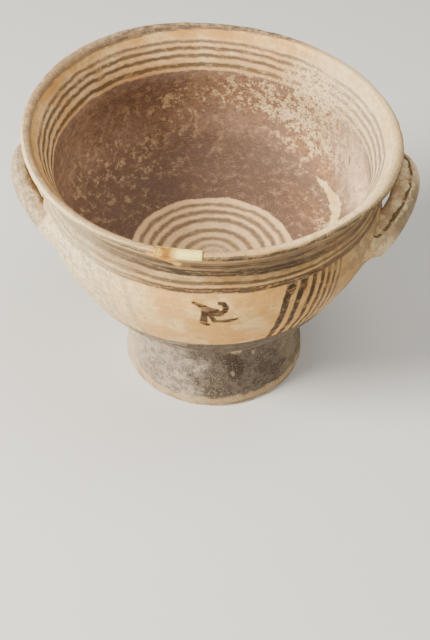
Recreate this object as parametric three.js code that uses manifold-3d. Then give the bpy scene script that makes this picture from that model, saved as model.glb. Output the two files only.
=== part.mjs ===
// Footed bowl: a painted, hand-finished clay bowl with an everted lip, two horizontal loop handles
// and a low hollow pedestal foot. Millimetres, +Z up. The bowl stands on z = 0, the painted front
// panel faces -Y and the handles are at -X and +X. The origin is under the middle of the whole
// object's bounding box.
import * as THREE from "three";
import { mergeVertices } from "three/addons/utils/BufferGeometryUtils.js";
import Module from "manifold-3d";

const wasm = await Module();
wasm.setup();

// ---------------------------------------------------------------- driving dimensions (mm)
const RIM_R = 80.0; // outer radius of the lip
const RIM_H = 131.8; // height of the middle of the lip above the ground
const FOOT_R = 43.5; // outer radius of the resting ring
const FOOT_RING_IN = 38.2; // inner radius of the resting ring
const GAP = 0.3; // clearance between touching pieces
const WARP_FROM = 36.0; // the hand-made unevenness starts at this height
const RIM_SHIFT = [-1.29, -3.23]; // the lip's centre is off the foot's centre by this much
const RIM_TILT = [-0.0393, 0.0483]; // slope of the lip's plane along x and y
const OVAL = [0.0055, 0.0039]; // how far the lip is from a circle, cos and sin of twice the angle
const WAVE = [0.42, -1.36]; // how far the lip is from flat, cos and sin of twice the angle
const SWELL = { at_deg: -20, wide_deg: 22, out: 1.5 }; // the outside of the lip is thicker towards the right handle
const BOWL_SEGMENTS = 64;
const FOOT_SEGMENTS = 48;
const HANDLE_STEPS = 24;
const HANDLE_SIDES = 12;
const PAD = { radial: 4.6, along: 12.5, up: 8.6 }; // half sizes of a luting pad
const FILL = { at_deg: -99.2, length: 19.4, depth: 2.3, radial: 16.0 }; // the repair in the lip

// The bowl's section, from the middle of its underside, up the outside, over the lip and down the inside.
const BOWL_OUTER = [
  [0, 52.3],
  [15, 52.9],
  [30, 54.6],
  [44, 57.9],
  [53, 60.3],
  [60, 63.2],
  [64.5, 66.3],
  [67.4, 69.7],
  [69.2, 73.0],
  [71.7, 79.0],
  [73.7, 86.0],
  [75.0, 93.3],
  [74.7, 99.5],
  [73.6, 106.0],
  [72.7, 112.0],
  [73.3, 117.6],
  [75.3, 122.8],
  [78.3, 127.0],
  [79.8, 129.8],
];
const BOWL_LIP = [
  [80.0, 131.2],
  [79.2, 132.3],
  [77.4, 132.5],
  [75.6, 131.6],
];
const BOWL_INNER = [
  [74.3, 129.4],
  [71.2, 124.0],
  [68.6, 117.6],
  [67.8, 111.0],
  [68.8, 103.0],
  [69.5, 95.0],
  [68.7, 87.0],
  [66.4, 80.0],
  [62.4, 73.8],
  [56.5, 69.4],
  [48.0, 66.2],
  [36.6, 63.4],
  [28.0, 61.1],
  [20.0, 59.5],
  [10.0, 58.5],
  [0, 58.2],
];
// The pedestal's section: up the outside, across under the bowl, down the inside, closed by the resting ring.
const FOOT_OUTER = [
  [FOOT_R - 0.5, 0],
  [FOOT_R, 0.6],
  [43.3, 4.0],
  [42.6, 10.0],
  [41.9, 18.0],
  [41.5, 25.0],
  [42.0, 31.0],
  [43.7, 36.6],
  [46.6, 43.0],
  [49.6, 50.0],
  [51.6, 55.4],
];
const FOOT_INNER = [
  [46.4, 58.0],
  [44.6, 52.0],
  [41.0, 44.0],
  [37.4, 36.0],
  [35.4, 28.0],
  [35.2, 20.0],
  [36.2, 10.0],
  [37.6, 1.4],
  [FOOT_RING_IN, 0],
];
// The clay smoothed into the crevice: its outer line carries the bowl's outline down to the foot.
const COLLAR_OUTER = [
  [44.35, 37.0],
  [47.0, 39.6],
  [51.2, 44.5],
  [56.4, 51.2],
  [61.2, 58.0],
  [65.0, 64.2],
];

// Each handle: middle angle and half spread about the vessel's axis (degrees from the side's own
// direction, positive towards the back), height of the roots and of the middle, how far the coil's
// centre line stands off the wall, and the half thicknesses of its oval coil outwards and upwards.
const HANDLES = {
  left: { side: -1, middle: 6.0, spread: 27.0, root_z: 96.0, mid_z: 106.0, out: 12.1, power: 1.2, coil: [5.0, 5.2] },
  right: { side: 1, middle: 1.7, spread: 25.5, root_z: 90.9, mid_z: 102.6, out: 10.25, power: 1.2, coil: [6.05, 5.2] },
};

// ---------------------------------------------------------------- helpers
// The bowl was thrown true and then leaned and sagged a little before firing.
function warp(x, y, z) {
  const s = Math.min(Math.max((z - WARP_FROM) / (RIM_H - WARP_FROM), 0), 1.2);
  const r = Math.hypot(x, y);
  if (s === 0 || r < 1e-6) return [x + s * RIM_SHIFT[0], y + s * RIM_SHIFT[1], z];
  const a = Math.atan2(y, x);
  const share = Math.min(r / RIM_R, 1.1);
  const k = 1 + s * (OVAL[0] * Math.cos(2 * a) + OVAL[1] * Math.sin(2 * a)) * share;
  return [
    x * k + s * RIM_SHIFT[0],
    y * k + s * RIM_SHIFT[1],
    z +
      s *
        (RIM_TILT[0] * x +
          RIM_TILT[1] * y +
          (WAVE[0] * Math.cos(2 * a) + WAVE[1] * Math.sin(2 * a)) * share * share),
  ];
}

// The lip's outside swells a little towards the right handle. Given as [height, share of the swell].
const SWELL_BY_HEIGHT = [
  [119, 0],
  [122.8, 0.3],
  [127.0, 1],
  [129.8, 1],
  [131.2, 0.65],
  [132.3, 0.3],
  [133.4, 0],
];
function swollen(x, y, z) {
  const r = Math.hypot(x, y);
  if (z < 119 || r < 74.9 || (z > 126 && r < 78)) return [x, y, z];
  let share = 0;
  for (let i = 1; i < SWELL_BY_HEIGHT.length; i++) {
    const [z0, a] = SWELL_BY_HEIGHT[i - 1];
    const [z1, b] = SWELL_BY_HEIGHT[i];
    if (z >= z0 && z <= z1) share = a + ((b - a) * (z - z0)) / (z1 - z0);
  }
  const off = (THREE.MathUtils.radToDeg(Math.atan2(y, x)) - SWELL.at_deg) / SWELL.wide_deg;
  const k = 1 + (SWELL.out * share * Math.exp(-off * off)) / r;
  return [x * k, y * k, z];
}
const bowlShape = (x, y, z) => warp(...swollen(x, y, z));

// A closed geometry as a solid, with its shared vertices merged, bent by a shaping function if one is given.
function solidOf(geometry, shape) {
  const plain = geometry.index ? geometry.toNonIndexed() : geometry.clone();
  for (const name of Object.keys(plain.attributes))
    if (name !== "position") plain.deleteAttribute(name);
  const g = mergeVertices(plain, 1e-3);
  const p = g.attributes.position;
  if (shape)
    for (let i = 0; i < p.count; i++)
      p.setXYZ(i, ...shape(p.getX(i), p.getY(i), p.getZ(i)));
  const tri = [];
  const index = g.index.array;
  for (let i = 0; i < index.length; i += 3) {
    const [a, b, c] = [index[i], index[i + 1], index[i + 2]];
    if (a !== b && b !== c && a !== c) tri.push(a, b, c);
  }
  const make = (t) =>
    new wasm.Manifold(
      new wasm.Mesh({
        numProp: 3,
        vertProperties: new Float32Array(p.array),
        triVerts: new Uint32Array(t),
      }),
    );
  const made = make(tri);
  if (made.volume() > 0) return made;
  const turned = [];
  for (let i = 0; i < tri.length; i += 3) turned.push(tri[i], tri[i + 2], tri[i + 1]);
  return make(turned);
}

// A section of [radius, height] points turned about the vertical axis.
function turnedSolid(section, segments, shape) {
  const points = section.map(([r, z]) => new THREE.Vector2(r, z));
  const lathe = new THREE.LatheGeometry(points, segments).rotateX(Math.PI / 2);
  return solidOf(lathe, shape);
}

// A section moved outwards by a distance, square to its own line.
function offset(section, d) {
  return section.map(([r, z], i) => {
    const [r0, z0] = section[Math.max(i - 1, 0)];
    const [r1, z1] = section[Math.min(i + 1, section.length - 1)];
    const l = Math.hypot(r1 - r0, z1 - z0) || 1;
    return [Math.max(r + ((z1 - z0) / l) * d, 0), z - ((r1 - r0) / l) * d];
  });
}

// The biggest single body of a solid.
function largest(solid) {
  return solid.decompose().reduce((a, b) => (b.volume() > a.volume() ? b : a));
}

// The outside wall's radius at a height, before the warp.
function wallRadius(z) {
  const upper = BOWL_OUTER;
  for (let i = 1; i < upper.length; i++)
    if (z <= upper[i][1]) {
      const [r0, z0] = upper[i - 1];
      const [r1, z1] = upper[i];
      return r0 + ((r1 - r0) * (z - z0)) / (z1 - z0);
    }
  return RIM_R;
}

function meshOf(name, solid, material, shift) {
  const m = solid.getMesh();
  const n = m.numProp;
  const v = new Float32Array(m.numVert * 3);
  for (let i = 0; i < m.numVert; i++) v.set(m.vertProperties.subarray(i * n, i * n + 3), i * 3);
  const g = new THREE.BufferGeometry();
  g.setAttribute("position", new THREE.BufferAttribute(v, 3));
  g.setIndex(new THREE.BufferAttribute(new Uint32Array(m.triVerts), 1));
  g.translate(shift.x, shift.y, 0);
  g.computeVertexNormals();
  const mesh = new THREE.Mesh(g, material);
  mesh.name = name;
  return mesh;
}

// ---------------------------------------------------------------- bowl and the repair in its lip
const wholeBowl = turnedSolid([...BOWL_OUTER, ...BOWL_LIP, ...BOWL_INNER], BOWL_SEGMENTS, bowlShape);
// The space that the bowl and its inside take up, grown by the clearance.
const outerGrown = offset([...BOWL_OUTER, ...BOWL_LIP.slice(0, 2)], GAP);
outerGrown[0][0] = 0;
const bowlSpace = turnedSolid([...outerGrown, [0, RIM_H + 1.0]], BOWL_SEGMENTS, warp);

function fillBlock(shrink) {
  const a = THREE.MathUtils.degToRad(FILL.at_deg);
  const [x, y, z] = warp(77.6 * Math.cos(a), 77.6 * Math.sin(a), 132.4);
  const box = new THREE.BoxGeometry(
    FILL.radial,
    FILL.length - 2 * shrink,
    2 * FILL.depth - 2 * shrink,
  );
  box.rotateZ(a);
  box.translate(x, y, z);
  return solidOf(box);
}
const bowl = largest(wholeBowl.subtract(fillBlock(0)));
const repair = largest(wholeBowl.intersect(fillBlock(GAP)));

// ---------------------------------------------------------------- pedestal foot and its luting
// The top of the foot and of the collar follow the bowl's underside at the clearance.
const underside = offset(BOWL_OUTER, GAP);
function under(r) {
  for (let i = 1; i < underside.length; i++)
    if (r <= underside[i][0]) {
      const [r0, z0] = underside[i - 1];
      const [r1, z1] = underside[i];
      return z0 + ((z1 - z0) * (r - r0)) / (r1 - r0);
    }
  return underside[underside.length - 1][1];
}
const footTop = [52.6, 49.4, 47.2].map((r) => [r, under(r) - 0.12]);
const footSection = [...FOOT_OUTER, ...footTop, ...FOOT_INNER];
footSection.push([...FOOT_OUTER[0]]);
const foot = turnedSolid(footSection, FOOT_SEGMENTS, warp);

const collarTop = [66.6, 64.2, 60.0, 56.4, 53.4].map((r) => [r, under(r) - 0.12]);
const collarInner = offset(FOOT_OUTER.slice(7), GAP + 0.06).reverse();
const collarSection = [...COLLAR_OUTER, ...collarTop, ...collarInner];
collarSection.push([...COLLAR_OUTER[0]]);
const collar = turnedSolid(collarSection, FOOT_SEGMENTS, warp);

// ---------------------------------------------------------------- handles and their luting pads
function handleLine(h) {
  const points = [];
  const steps = 16;
  for (let i = -steps; i <= steps; i++) {
    const t = i / steps;
    const a = THREE.MathUtils.degToRad(h.middle + h.spread * t);
    const k = Math.pow(Math.abs(Math.cos((t * Math.PI) / 2)), h.power);
    const z = h.root_z + (h.mid_z - h.root_z) * k;
    const r = wallRadius(z) + h.out * k;
    points.push(new THREE.Vector3(h.side * r * Math.cos(a), r * Math.sin(a), z));
  }
  // both ends run a little way into the wall, where they are trimmed to it
  for (const [end, next] of [
    [0, 2],
    [points.length - 1, points.length - 3],
  ]) {
    const d = points[end].clone().sub(points[next]).normalize();
    const inward = new THREE.Vector3(-points[end].x, -points[end].y, 0).normalize();
    const extra = points[end].clone().addScaledVector(d, 4.0).addScaledVector(inward, 3.0);
    if (end === 0) points.unshift(extra);
    else points.push(extra);
  }
  return points;
}

// A coil of oval section swept along the line, grown by a clearance.
function coil(points, [wide, tall], grow) {
  const path = new THREE.CatmullRomCurve3(points, false, "centripetal");
  const rings = path.getSpacedPoints(HANDLE_STEPS);
  const n = HANDLE_SIDES;
  const position = [];
  const index = [];
  rings.forEach((at, i) => {
    const along = rings[Math.min(i + 1, HANDLE_STEPS)]
      .clone()
      .sub(rings[Math.max(i - 1, 0)])
      .normalize();
    const axis = new THREE.Vector3(at.x, at.y, 0).normalize();
    const up = new THREE.Vector3().crossVectors(along, axis).normalize();
    if (up.z < 0) up.negate();
    const out = new THREE.Vector3().crossVectors(up, along).normalize();
    if (out.dot(axis) < 0) out.negate();
    for (let j = 0; j < n; j++) {
      const a = (j / n) * 2 * Math.PI;
      const p = at
        .clone()
        .addScaledVector(out, (wide + grow) * Math.cos(a))
        .addScaledVector(up, (tall + grow) * Math.sin(a));
      position.push(p.x, p.y, p.z);
    }
  });
  const flip = Math.sign(rings[HANDLE_STEPS].y - rings[0].y) * Math.sign(rings[0].x) < 0;
  const face = (a, b, c) => (flip ? index.push(a, c, b) : index.push(a, b, c));
  for (let i = 0; i < HANDLE_STEPS; i++)
    for (let j = 0; j < n; j++) {
      const [a, b] = [i * n + j, i * n + ((j + 1) % n)];
      face(a, b, a + n);
      face(b, b + n, a + n);
    }
  for (const [i, turn] of [
    [0, true],
    [HANDLE_STEPS, false],
  ])
    for (let j = 1; j < n - 1; j++)
      if (turn) face(i * n, i * n + j + 1, i * n + j);
      else face(i * n, i * n + j, i * n + j + 1);
  const g = new THREE.BufferGeometry();
  g.setAttribute("position", new THREE.Float32BufferAttribute(position, 3));
  g.setIndex(index);
  return solidOf(g);
}

function pad(h, end, handleSpace) {
  const a = THREE.MathUtils.degToRad(h.middle + h.spread * 0.93 * end);
  const r = wallRadius(h.root_z) + 0.2;
  const ball = new THREE.SphereGeometry(1, 16, 10);
  ball.scale(PAD.radial, PAD.along, PAD.up);
  const angle = h.side > 0 ? a : Math.PI - a;
  ball.rotateZ(angle);
  ball.translate(h.side * r * Math.cos(a), r * Math.sin(a), h.root_z + 0.6);
  return largest(solidOf(ball).subtract(bowlSpace).subtract(handleSpace));
}

const made = {};
for (const [name, h] of Object.entries(HANDLES)) {
  const line = handleLine(h);
  made["handle_" + name] = largest(coil(line, h.coil, 0).subtract(bowlSpace));
  const space = coil(line, h.coil, GAP + 0.1);
  made["handle_" + name + "_front_luting"] = pad(h, -1, space);
  made["handle_" + name + "_rear_luting"] = pad(h, 1, space);
}

// ---------------------------------------------------------------- materials and the assembly
const clay = (color, roughness) =>
  new THREE.MeshStandardMaterial({ color, roughness, metalness: 0 });
const painted = clay(0xb9a387, 0.82);
const footClay = clay(0x8f8575, 0.86);
const luting = clay(0x9a8b76, 0.88);
const handleClay = clay(0xc3b095, 0.84);
const plaster = clay(0xd9c7a0, 0.9);

const pieces = [
  ["bowl_body", bowl, painted],
  ["rim_repair_fill", repair, plaster],
  ["pedestal_foot", foot, footClay],
  ["foot_luting_collar", collar, luting],
  ["handle_left", made.handle_left, handleClay],
  ["handle_right", made.handle_right, handleClay],
  ["handle_left_front_luting", made.handle_left_front_luting, luting],
  ["handle_left_rear_luting", made.handle_left_rear_luting, luting],
  ["handle_right_front_luting", made.handle_right_front_luting, luting],
  ["handle_right_rear_luting", made.handle_right_rear_luting, luting],
];

// The origin goes under the middle of the whole object.
const low = [Infinity, Infinity];
const high = [-Infinity, -Infinity];
for (const [, solid] of pieces) {
  const b = solid.boundingBox();
  for (const k of [0, 1]) {
    low[k] = Math.min(low[k], b.min[k]);
    high[k] = Math.max(high[k], b.max[k]);
  }
}
const shift = { x: -(low[0] + high[0]) / 2, y: -(low[1] + high[1]) / 2 };

const footedBowl = new THREE.Group();
for (const [name, solid, material] of pieces)
  footedBowl.add(meshOf(name, solid, material, shift));

export default footedBowl;
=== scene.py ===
import math

import bpy
import numpy as np
from mathutils import Matrix, Vector


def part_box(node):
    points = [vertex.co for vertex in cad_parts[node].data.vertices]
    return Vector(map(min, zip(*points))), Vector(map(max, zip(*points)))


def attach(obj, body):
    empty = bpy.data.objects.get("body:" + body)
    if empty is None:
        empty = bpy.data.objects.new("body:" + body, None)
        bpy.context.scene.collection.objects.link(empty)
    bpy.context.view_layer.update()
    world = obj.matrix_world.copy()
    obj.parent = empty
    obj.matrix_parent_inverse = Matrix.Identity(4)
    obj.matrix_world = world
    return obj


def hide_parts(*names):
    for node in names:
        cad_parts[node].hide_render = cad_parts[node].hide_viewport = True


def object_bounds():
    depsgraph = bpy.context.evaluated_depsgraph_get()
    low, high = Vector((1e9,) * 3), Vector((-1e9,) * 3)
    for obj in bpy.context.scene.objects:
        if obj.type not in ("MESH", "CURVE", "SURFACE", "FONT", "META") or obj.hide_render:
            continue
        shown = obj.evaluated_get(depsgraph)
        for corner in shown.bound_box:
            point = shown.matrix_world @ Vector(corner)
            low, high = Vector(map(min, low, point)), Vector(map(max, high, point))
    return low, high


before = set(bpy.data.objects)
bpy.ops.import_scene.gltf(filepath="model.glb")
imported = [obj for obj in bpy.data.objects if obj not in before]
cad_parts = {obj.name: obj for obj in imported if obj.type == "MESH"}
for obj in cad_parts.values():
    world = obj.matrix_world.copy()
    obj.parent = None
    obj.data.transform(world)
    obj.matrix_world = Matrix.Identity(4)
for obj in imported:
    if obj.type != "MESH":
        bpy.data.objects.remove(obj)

cad_lo, cad_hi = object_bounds()

# ------------------------------------------------------------------ dimensions, mm, as in the CAD
RIM_R, RIM_H, WARP_FROM = 80.0, 131.8, 36.0
RIM_SHIFT, RIM_TILT = (-1.29, -3.23), (-0.0393, 0.0483)
OVAL, WAVE = (0.0055, 0.0039), (0.42, -1.36)
BOWL_OUTER = [(0, 52.3), (15, 52.9), (30, 54.6), (44, 57.9), (53, 60.3), (60, 63.2), (64.5, 66.3), (67.4, 69.7),
              (69.2, 73.0), (71.7, 79.0), (73.7, 86.0), (75.0, 93.3), (74.7, 99.5), (73.6, 106.0), (72.7, 112.0),
              (73.3, 117.6), (75.3, 122.8), (78.3, 127.0), (79.8, 129.8)]
BOWL_LIP = [(80.0, 131.2), (79.2, 132.3), (77.4, 132.5), (75.6, 131.6)]
BOWL_INNER = [(74.3, 129.4), (71.2, 124.0), (68.6, 117.6), (67.8, 111.0), (68.8, 103.0), (69.5, 95.0), (68.7, 87.0),
              (66.4, 80.0), (62.4, 73.8), (56.5, 69.4), (48.0, 66.2), (36.6, 63.4), (28.0, 61.1), (20.0, 59.5),
              (10.0, 58.5), (0, 58.2)]
FOOT = [(43.0, 0.0), (43.5, 0.7), (43.3, 4.0), (42.6, 10.0), (41.9, 18.0), (41.5, 25.0), (42.0, 31.0), (43.7, 36.6),
        (46.6, 43.0), (49.6, 50.0), (51.6, 55.4), (52.4, 59.2), (49.4, 58.6), (47.0, 58.0), (44.6, 52.0), (41.0, 44.0),
        (37.4, 36.0), (35.4, 28.0), (35.2, 20.0), (36.2, 10.0), (37.5, 1.6), (38.2, 0.0), (40.6, 0.0)]
COLLAR = [(42.4, 33.2), (43.1, 34.8), (44.0, 36.5), (45.1, 38.1), (47.2, 40.0), (51.3, 44.5), (56.5, 51.2), (61.3, 58.0),
          (65.1, 64.6), (66.6, 67.3), (67.6, 69.4), (68.25, 71.2), (68.55, 72.6), (66.6, 69.6), (64.3, 66.6), (60.0, 63.4), (54.0, 60.9), (52.0, 56.0), (49.8, 50.0),
          (46.6, 42.6), (43.6, 36.4)]
HANDLES = {
    "left": dict(side=-1, middle=6.0, spread=27.0, root_z=96.0, mid_z=106.0, out=12.1, power=1.2, coil=(4.75, 5.0)),
    "right": dict(side=1, middle=1.7, spread=25.5, root_z=90.9, mid_z=102.6, out=10.1, power=1.2, coil=(6.15, 5.1)),
}
FILL_MID, FILL_HALF = -99.2, 6.85  # degrees

# The origin is under the middle of the whole object, so everything is moved by where the foot's base stands.
foot_lo, foot_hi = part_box("pedestal_foot")
base = np.array([v.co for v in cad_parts["pedestal_foot"].data.vertices])
base = base[base[:, 2] < 1e-5]
SHIFT = (base.min(0) + base.max(0))[:2] / 2 * 1000


# ------------------------------------------------------------------ numbers
def hashed(ix, iy, iz, seed):
    m = np.uint64(0xFFFFFFFF)
    n = (ix.astype(np.int64).astype(np.uint64) * np.uint64(374761393)
         + iy.astype(np.int64).astype(np.uint64) * np.uint64(668265263)
         + iz.astype(np.int64).astype(np.uint64) * np.uint64(2246822519)
         + np.uint64(seed) * np.uint64(3266489917)) & m
    n = ((n ^ (n >> np.uint64(15))) * np.uint64(2246822519)) & m
    n = ((n ^ (n >> np.uint64(13))) * np.uint64(3266489917)) & m
    return (n ^ (n >> np.uint64(16))).astype(float) / 4294967295.0


def noise(p, size, seed=0):
    """Smooth noise from -1 to 1 at points p, in mm, with lumps of that size."""
    p = np.asarray(p, float) / size + 1000.0
    i = np.floor(p)
    f = p - i
    f = f * f * f * (f * (f * 6 - 15) + 10)
    i = i.astype(np.int64)
    out = 0
    for dx in (0, 1):
        for dy in (0, 1):
            for dz in (0, 1):
                w = ((f[..., 0] if dx else 1 - f[..., 0]) * (f[..., 1] if dy else 1 - f[..., 1])
                     * (f[..., 2] if dz else 1 - f[..., 2]))
                out = out + w * hashed(i[..., 0] + dx, i[..., 1] + dy, i[..., 2] + dz, seed)
    return out * 2 - 1


def warp(p):
    """The lean and sag of the bowl, as in the CAD."""
    x, y, z = p[..., 0], p[..., 1], p[..., 2]
    s = np.clip((z - WARP_FROM) / (RIM_H - WARP_FROM), 0, 1.2)
    r = np.hypot(x, y)
    a = np.arctan2(y, x)
    share = np.minimum(r / RIM_R, 1.1)
    k = 1 + s * (OVAL[0] * np.cos(2 * a) + OVAL[1] * np.sin(2 * a)) * share
    return np.stack([x * k + s * RIM_SHIFT[0], y * k + s * RIM_SHIFT[1],
                     z + s * (RIM_TILT[0] * x + RIM_TILT[1] * y
                              + (WAVE[0] * np.cos(2 * a) + WAVE[1] * np.sin(2 * a)) * share * share)], -1)


def spline(points, step, closed=False):
    """Points along a smooth line through these, about a step apart."""
    p = np.asarray(points, float)
    n = len(p)
    out = []
    last = n if closed else n - 1
    for i in range(last):
        p0 = p[(i - 1) % n] if closed or i > 0 else 2 * p[0] - p[1]
        p1, p2 = p[i % n], p[(i + 1) % n]
        p3 = p[(i + 2) % n] if closed or i + 2 < n else 2 * p[-1] - p[-2]
        t0 = 0.0
        t1 = t0 + max(np.linalg.norm(p1 - p0), 1e-6) ** 0.5
        t2 = t1 + max(np.linalg.norm(p2 - p1), 1e-6) ** 0.5
        t3 = t2 + max(np.linalg.norm(p3 - p2), 1e-6) ** 0.5
        m = max(1, int(round(np.linalg.norm(p2 - p1) / step)))
        for k in range(m):
            t = t1 + (t2 - t1) * k / m
            a1 = (t1 - t) / (t1 - t0) * p0 + (t - t0) / (t1 - t0) * p1
            a2 = (t2 - t) / (t2 - t1) * p1 + (t - t1) / (t2 - t1) * p2
            a3 = (t3 - t) / (t3 - t2) * p2 + (t - t2) / (t3 - t2) * p3
            b1 = (t2 - t) / (t2 - t0) * a1 + (t - t0) / (t2 - t0) * a2
            b2 = (t3 - t) / (t3 - t1) * a2 + (t - t1) / (t3 - t1) * a3
            out.append((t2 - t) / (t2 - t1) * b1 + (t - t1) / (t2 - t1) * b2)
    if not closed:
        out.append(p[-1])
    return np.array(out)


def smooth(a, b, x):
    t = np.clip((x - a) / (b - a), 0, 1)
    return t * t * (3 - 2 * t)


def wall_radius(z):
    o = np.array(BOWL_OUTER)
    return np.interp(z, o[:, 1], o[:, 0])




def dense_outline():
    line = spline(BOWL_OUTER + BOWL_LIP + BOWL_INNER, 1.0)
    line[0, 0] = line[-1, 0] = 0.0
    run = np.append(0.0, np.cumsum(np.hypot(*np.diff(line, axis=0).T)))
    top = int(np.argmin(np.hypot(line[:, 0] - 77.4, line[:, 1] - 132.5)))
    return line, run[top] - run, top


LINE, LINE_S, TOP = dense_outline()


def lip_distance(z):
    """The way along the outside wall from the lip's top down to a height, in mm."""
    return np.interp(z, LINE[: TOP + 1, 1], LINE_S[: TOP + 1])


# ------------------------------------------------------------------ how the paint has lasted, round the vessel, and where painted light lies on the lip
# Each list gives values at angles (degrees, 0 towards +X, -90 towards the front), joined up round the vessel.
KEEP = [(-180, .40), (-150, .36), (-132, .36), (-122, .62), (-112, .88), (-104, .98), (-96, 1), (-58, 1), (-46, .82), (-10, .75),
        (30, .7), (60, .85), (100, .95), (140, .8), (165, .55)]
VEIL = [(-180, .24), (-150, .34), (-134, .50), (-124, .70), (-116, .75), (-108, .60), (-98, .48), (-86, .46), (-76, .48), (-64, .50),
        (-52, .34), (-40, .32), (-20, .36), (20, .34), (60, .3), (120, .32), (160, .26)]
STAIN = [(-180, .05), (-104, .05), (-92, .14), (-82, .30), (-74, .46), (-62, .60), (-52, .46), (-38, .40), (-22, .35),
         (0, .2), (60, .12), (100, .25), (140, .1)]
CHALK = [(-180, .55), (-160, .75), (-146, .95), (-134, .85), (-124, .55), (-114, .22), (-104, .06), (-90, 0), (-60, 0), (-30, .05),
         (0, .2), (60, .25), (120, .3), (160, .45)]
DRIFT = [(-180, 0), (-98, 0), (-86, .1), (-80, .4), (-74, 1.0), (-68, 1.6), (-62, 2.3), (-56, 2.8), (-50, 3.7), (-44, 4.2), (-38, 4.6),
         (-32, 3.2), (-10, 1.8), (30, .3), (90, -.3), (150, 0)]
FIRST_MID = [(-180, 3.5), (-120, 3.2), (-104, 3.3), (-98, 3.9), (-92, 3.3), (-86, 3.4), (-80, 4.2), (-74, 5.0), (-68, 6.2), (-62, 6.3),
             (-56, 4.5), (-50, 4.2), (-44, 3.2), (-38, 4.6), (-32, 4.2), (-14, 4.0), (5, 4.0), (30, 3.8), (100, 3.5), (160, 3.5)]
FIRST_HALF = [(-180, .9), (-130, .9), (-120, 1.05), (-104, 1.15), (-98, .8), (-92, 1.2), (-86, 1.6), (-80, 2.0), (-74, 1.9), (-68, 2.6), (-62, 3.0),
              (-56, 2.5), (-50, 2.8), (-44, 2.0), (-38, 2.1), (-32, 3.0), (-14, 3.2), (5, 2.8), (30, 1.5), (100, 1.2), (160, 1.0)]
FIRST_KEEP = [(-180, .10), (-140, .15), (-130, .50), (-122, .92), (-112, 1), (-60, 1), (-38, .9), (-20, .85), (30, .7), (60, .9),
              (140, .9), (165, .4)]
LIP_COAT = [(-180, .88), (-160, .86), (-135, .82), (-122, .72), (-110, .64), (-100, .52), (-88, .60), (-70, .62), (-62, .50),
            (-50, .44), (-38, .36), (-20, .34), (10, .42), (30, .40), (50, .40), (58, .64), (66, .86), (80, .97), (140, .99), (160, .95)]
LIP_IN = [(-180, 3.1), (-160, 3.0), (-140, 2.4), (-110, 2.0), (-60, 1.5), (-30, 1.2), (30, 1.0), (60, 1.2), (72, 2.0), (85, 2.8),
          (100, 3.2), (115, 3.9), (130, 4.4), (150, 4.2), (165, 3.6)]
LIP_OUT = [(-180, 3.0), (-168, 1.5), (-120, 1.5), (-100, 1.5), (-86, 1.7), (-60, 1.3), (-44, 1.0), (-20, 1.5), (30, 2.0), (60, 3.0),
           (100, 3.6), (150, 3.6), (168, 3.4)]
# the lip's arris drawn lighter: worn in part, and in part a painted highlight, highest on the left
LIP_EDGE = [(-180, .30), (-172, .65), (-160, .80), (-148, .85), (-134, .62), (-122, .32), (-110, .12), (-98, .06), (-60, .08), (-20, .3),
            (10, .42), (40, .28), (56, .05), (150, .04), (168, .10)]
# a painted highlight along the top of the lip, by angle
CREST = [(-180, 0), (-150, .1), (-118, .25), (-104, .12), (-90, .12), (-78, .22), (-68, .75), (-56, .9), (-44, .95), (-34, .7),
         (-22, .5), (0, .5), (40, .4), (60, 0), (170, 0)]


def around(table, deg):
    k = np.array(table, float)
    return np.interp(deg, k[:, 0], k[:, 1], period=360.0)


def bell(x, mid, half):
    return np.exp(-(((x - mid) / half) ** 2))


def turn(deg, mid):
    return (deg - mid + 180.0) % 360.0 - 180.0


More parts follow.
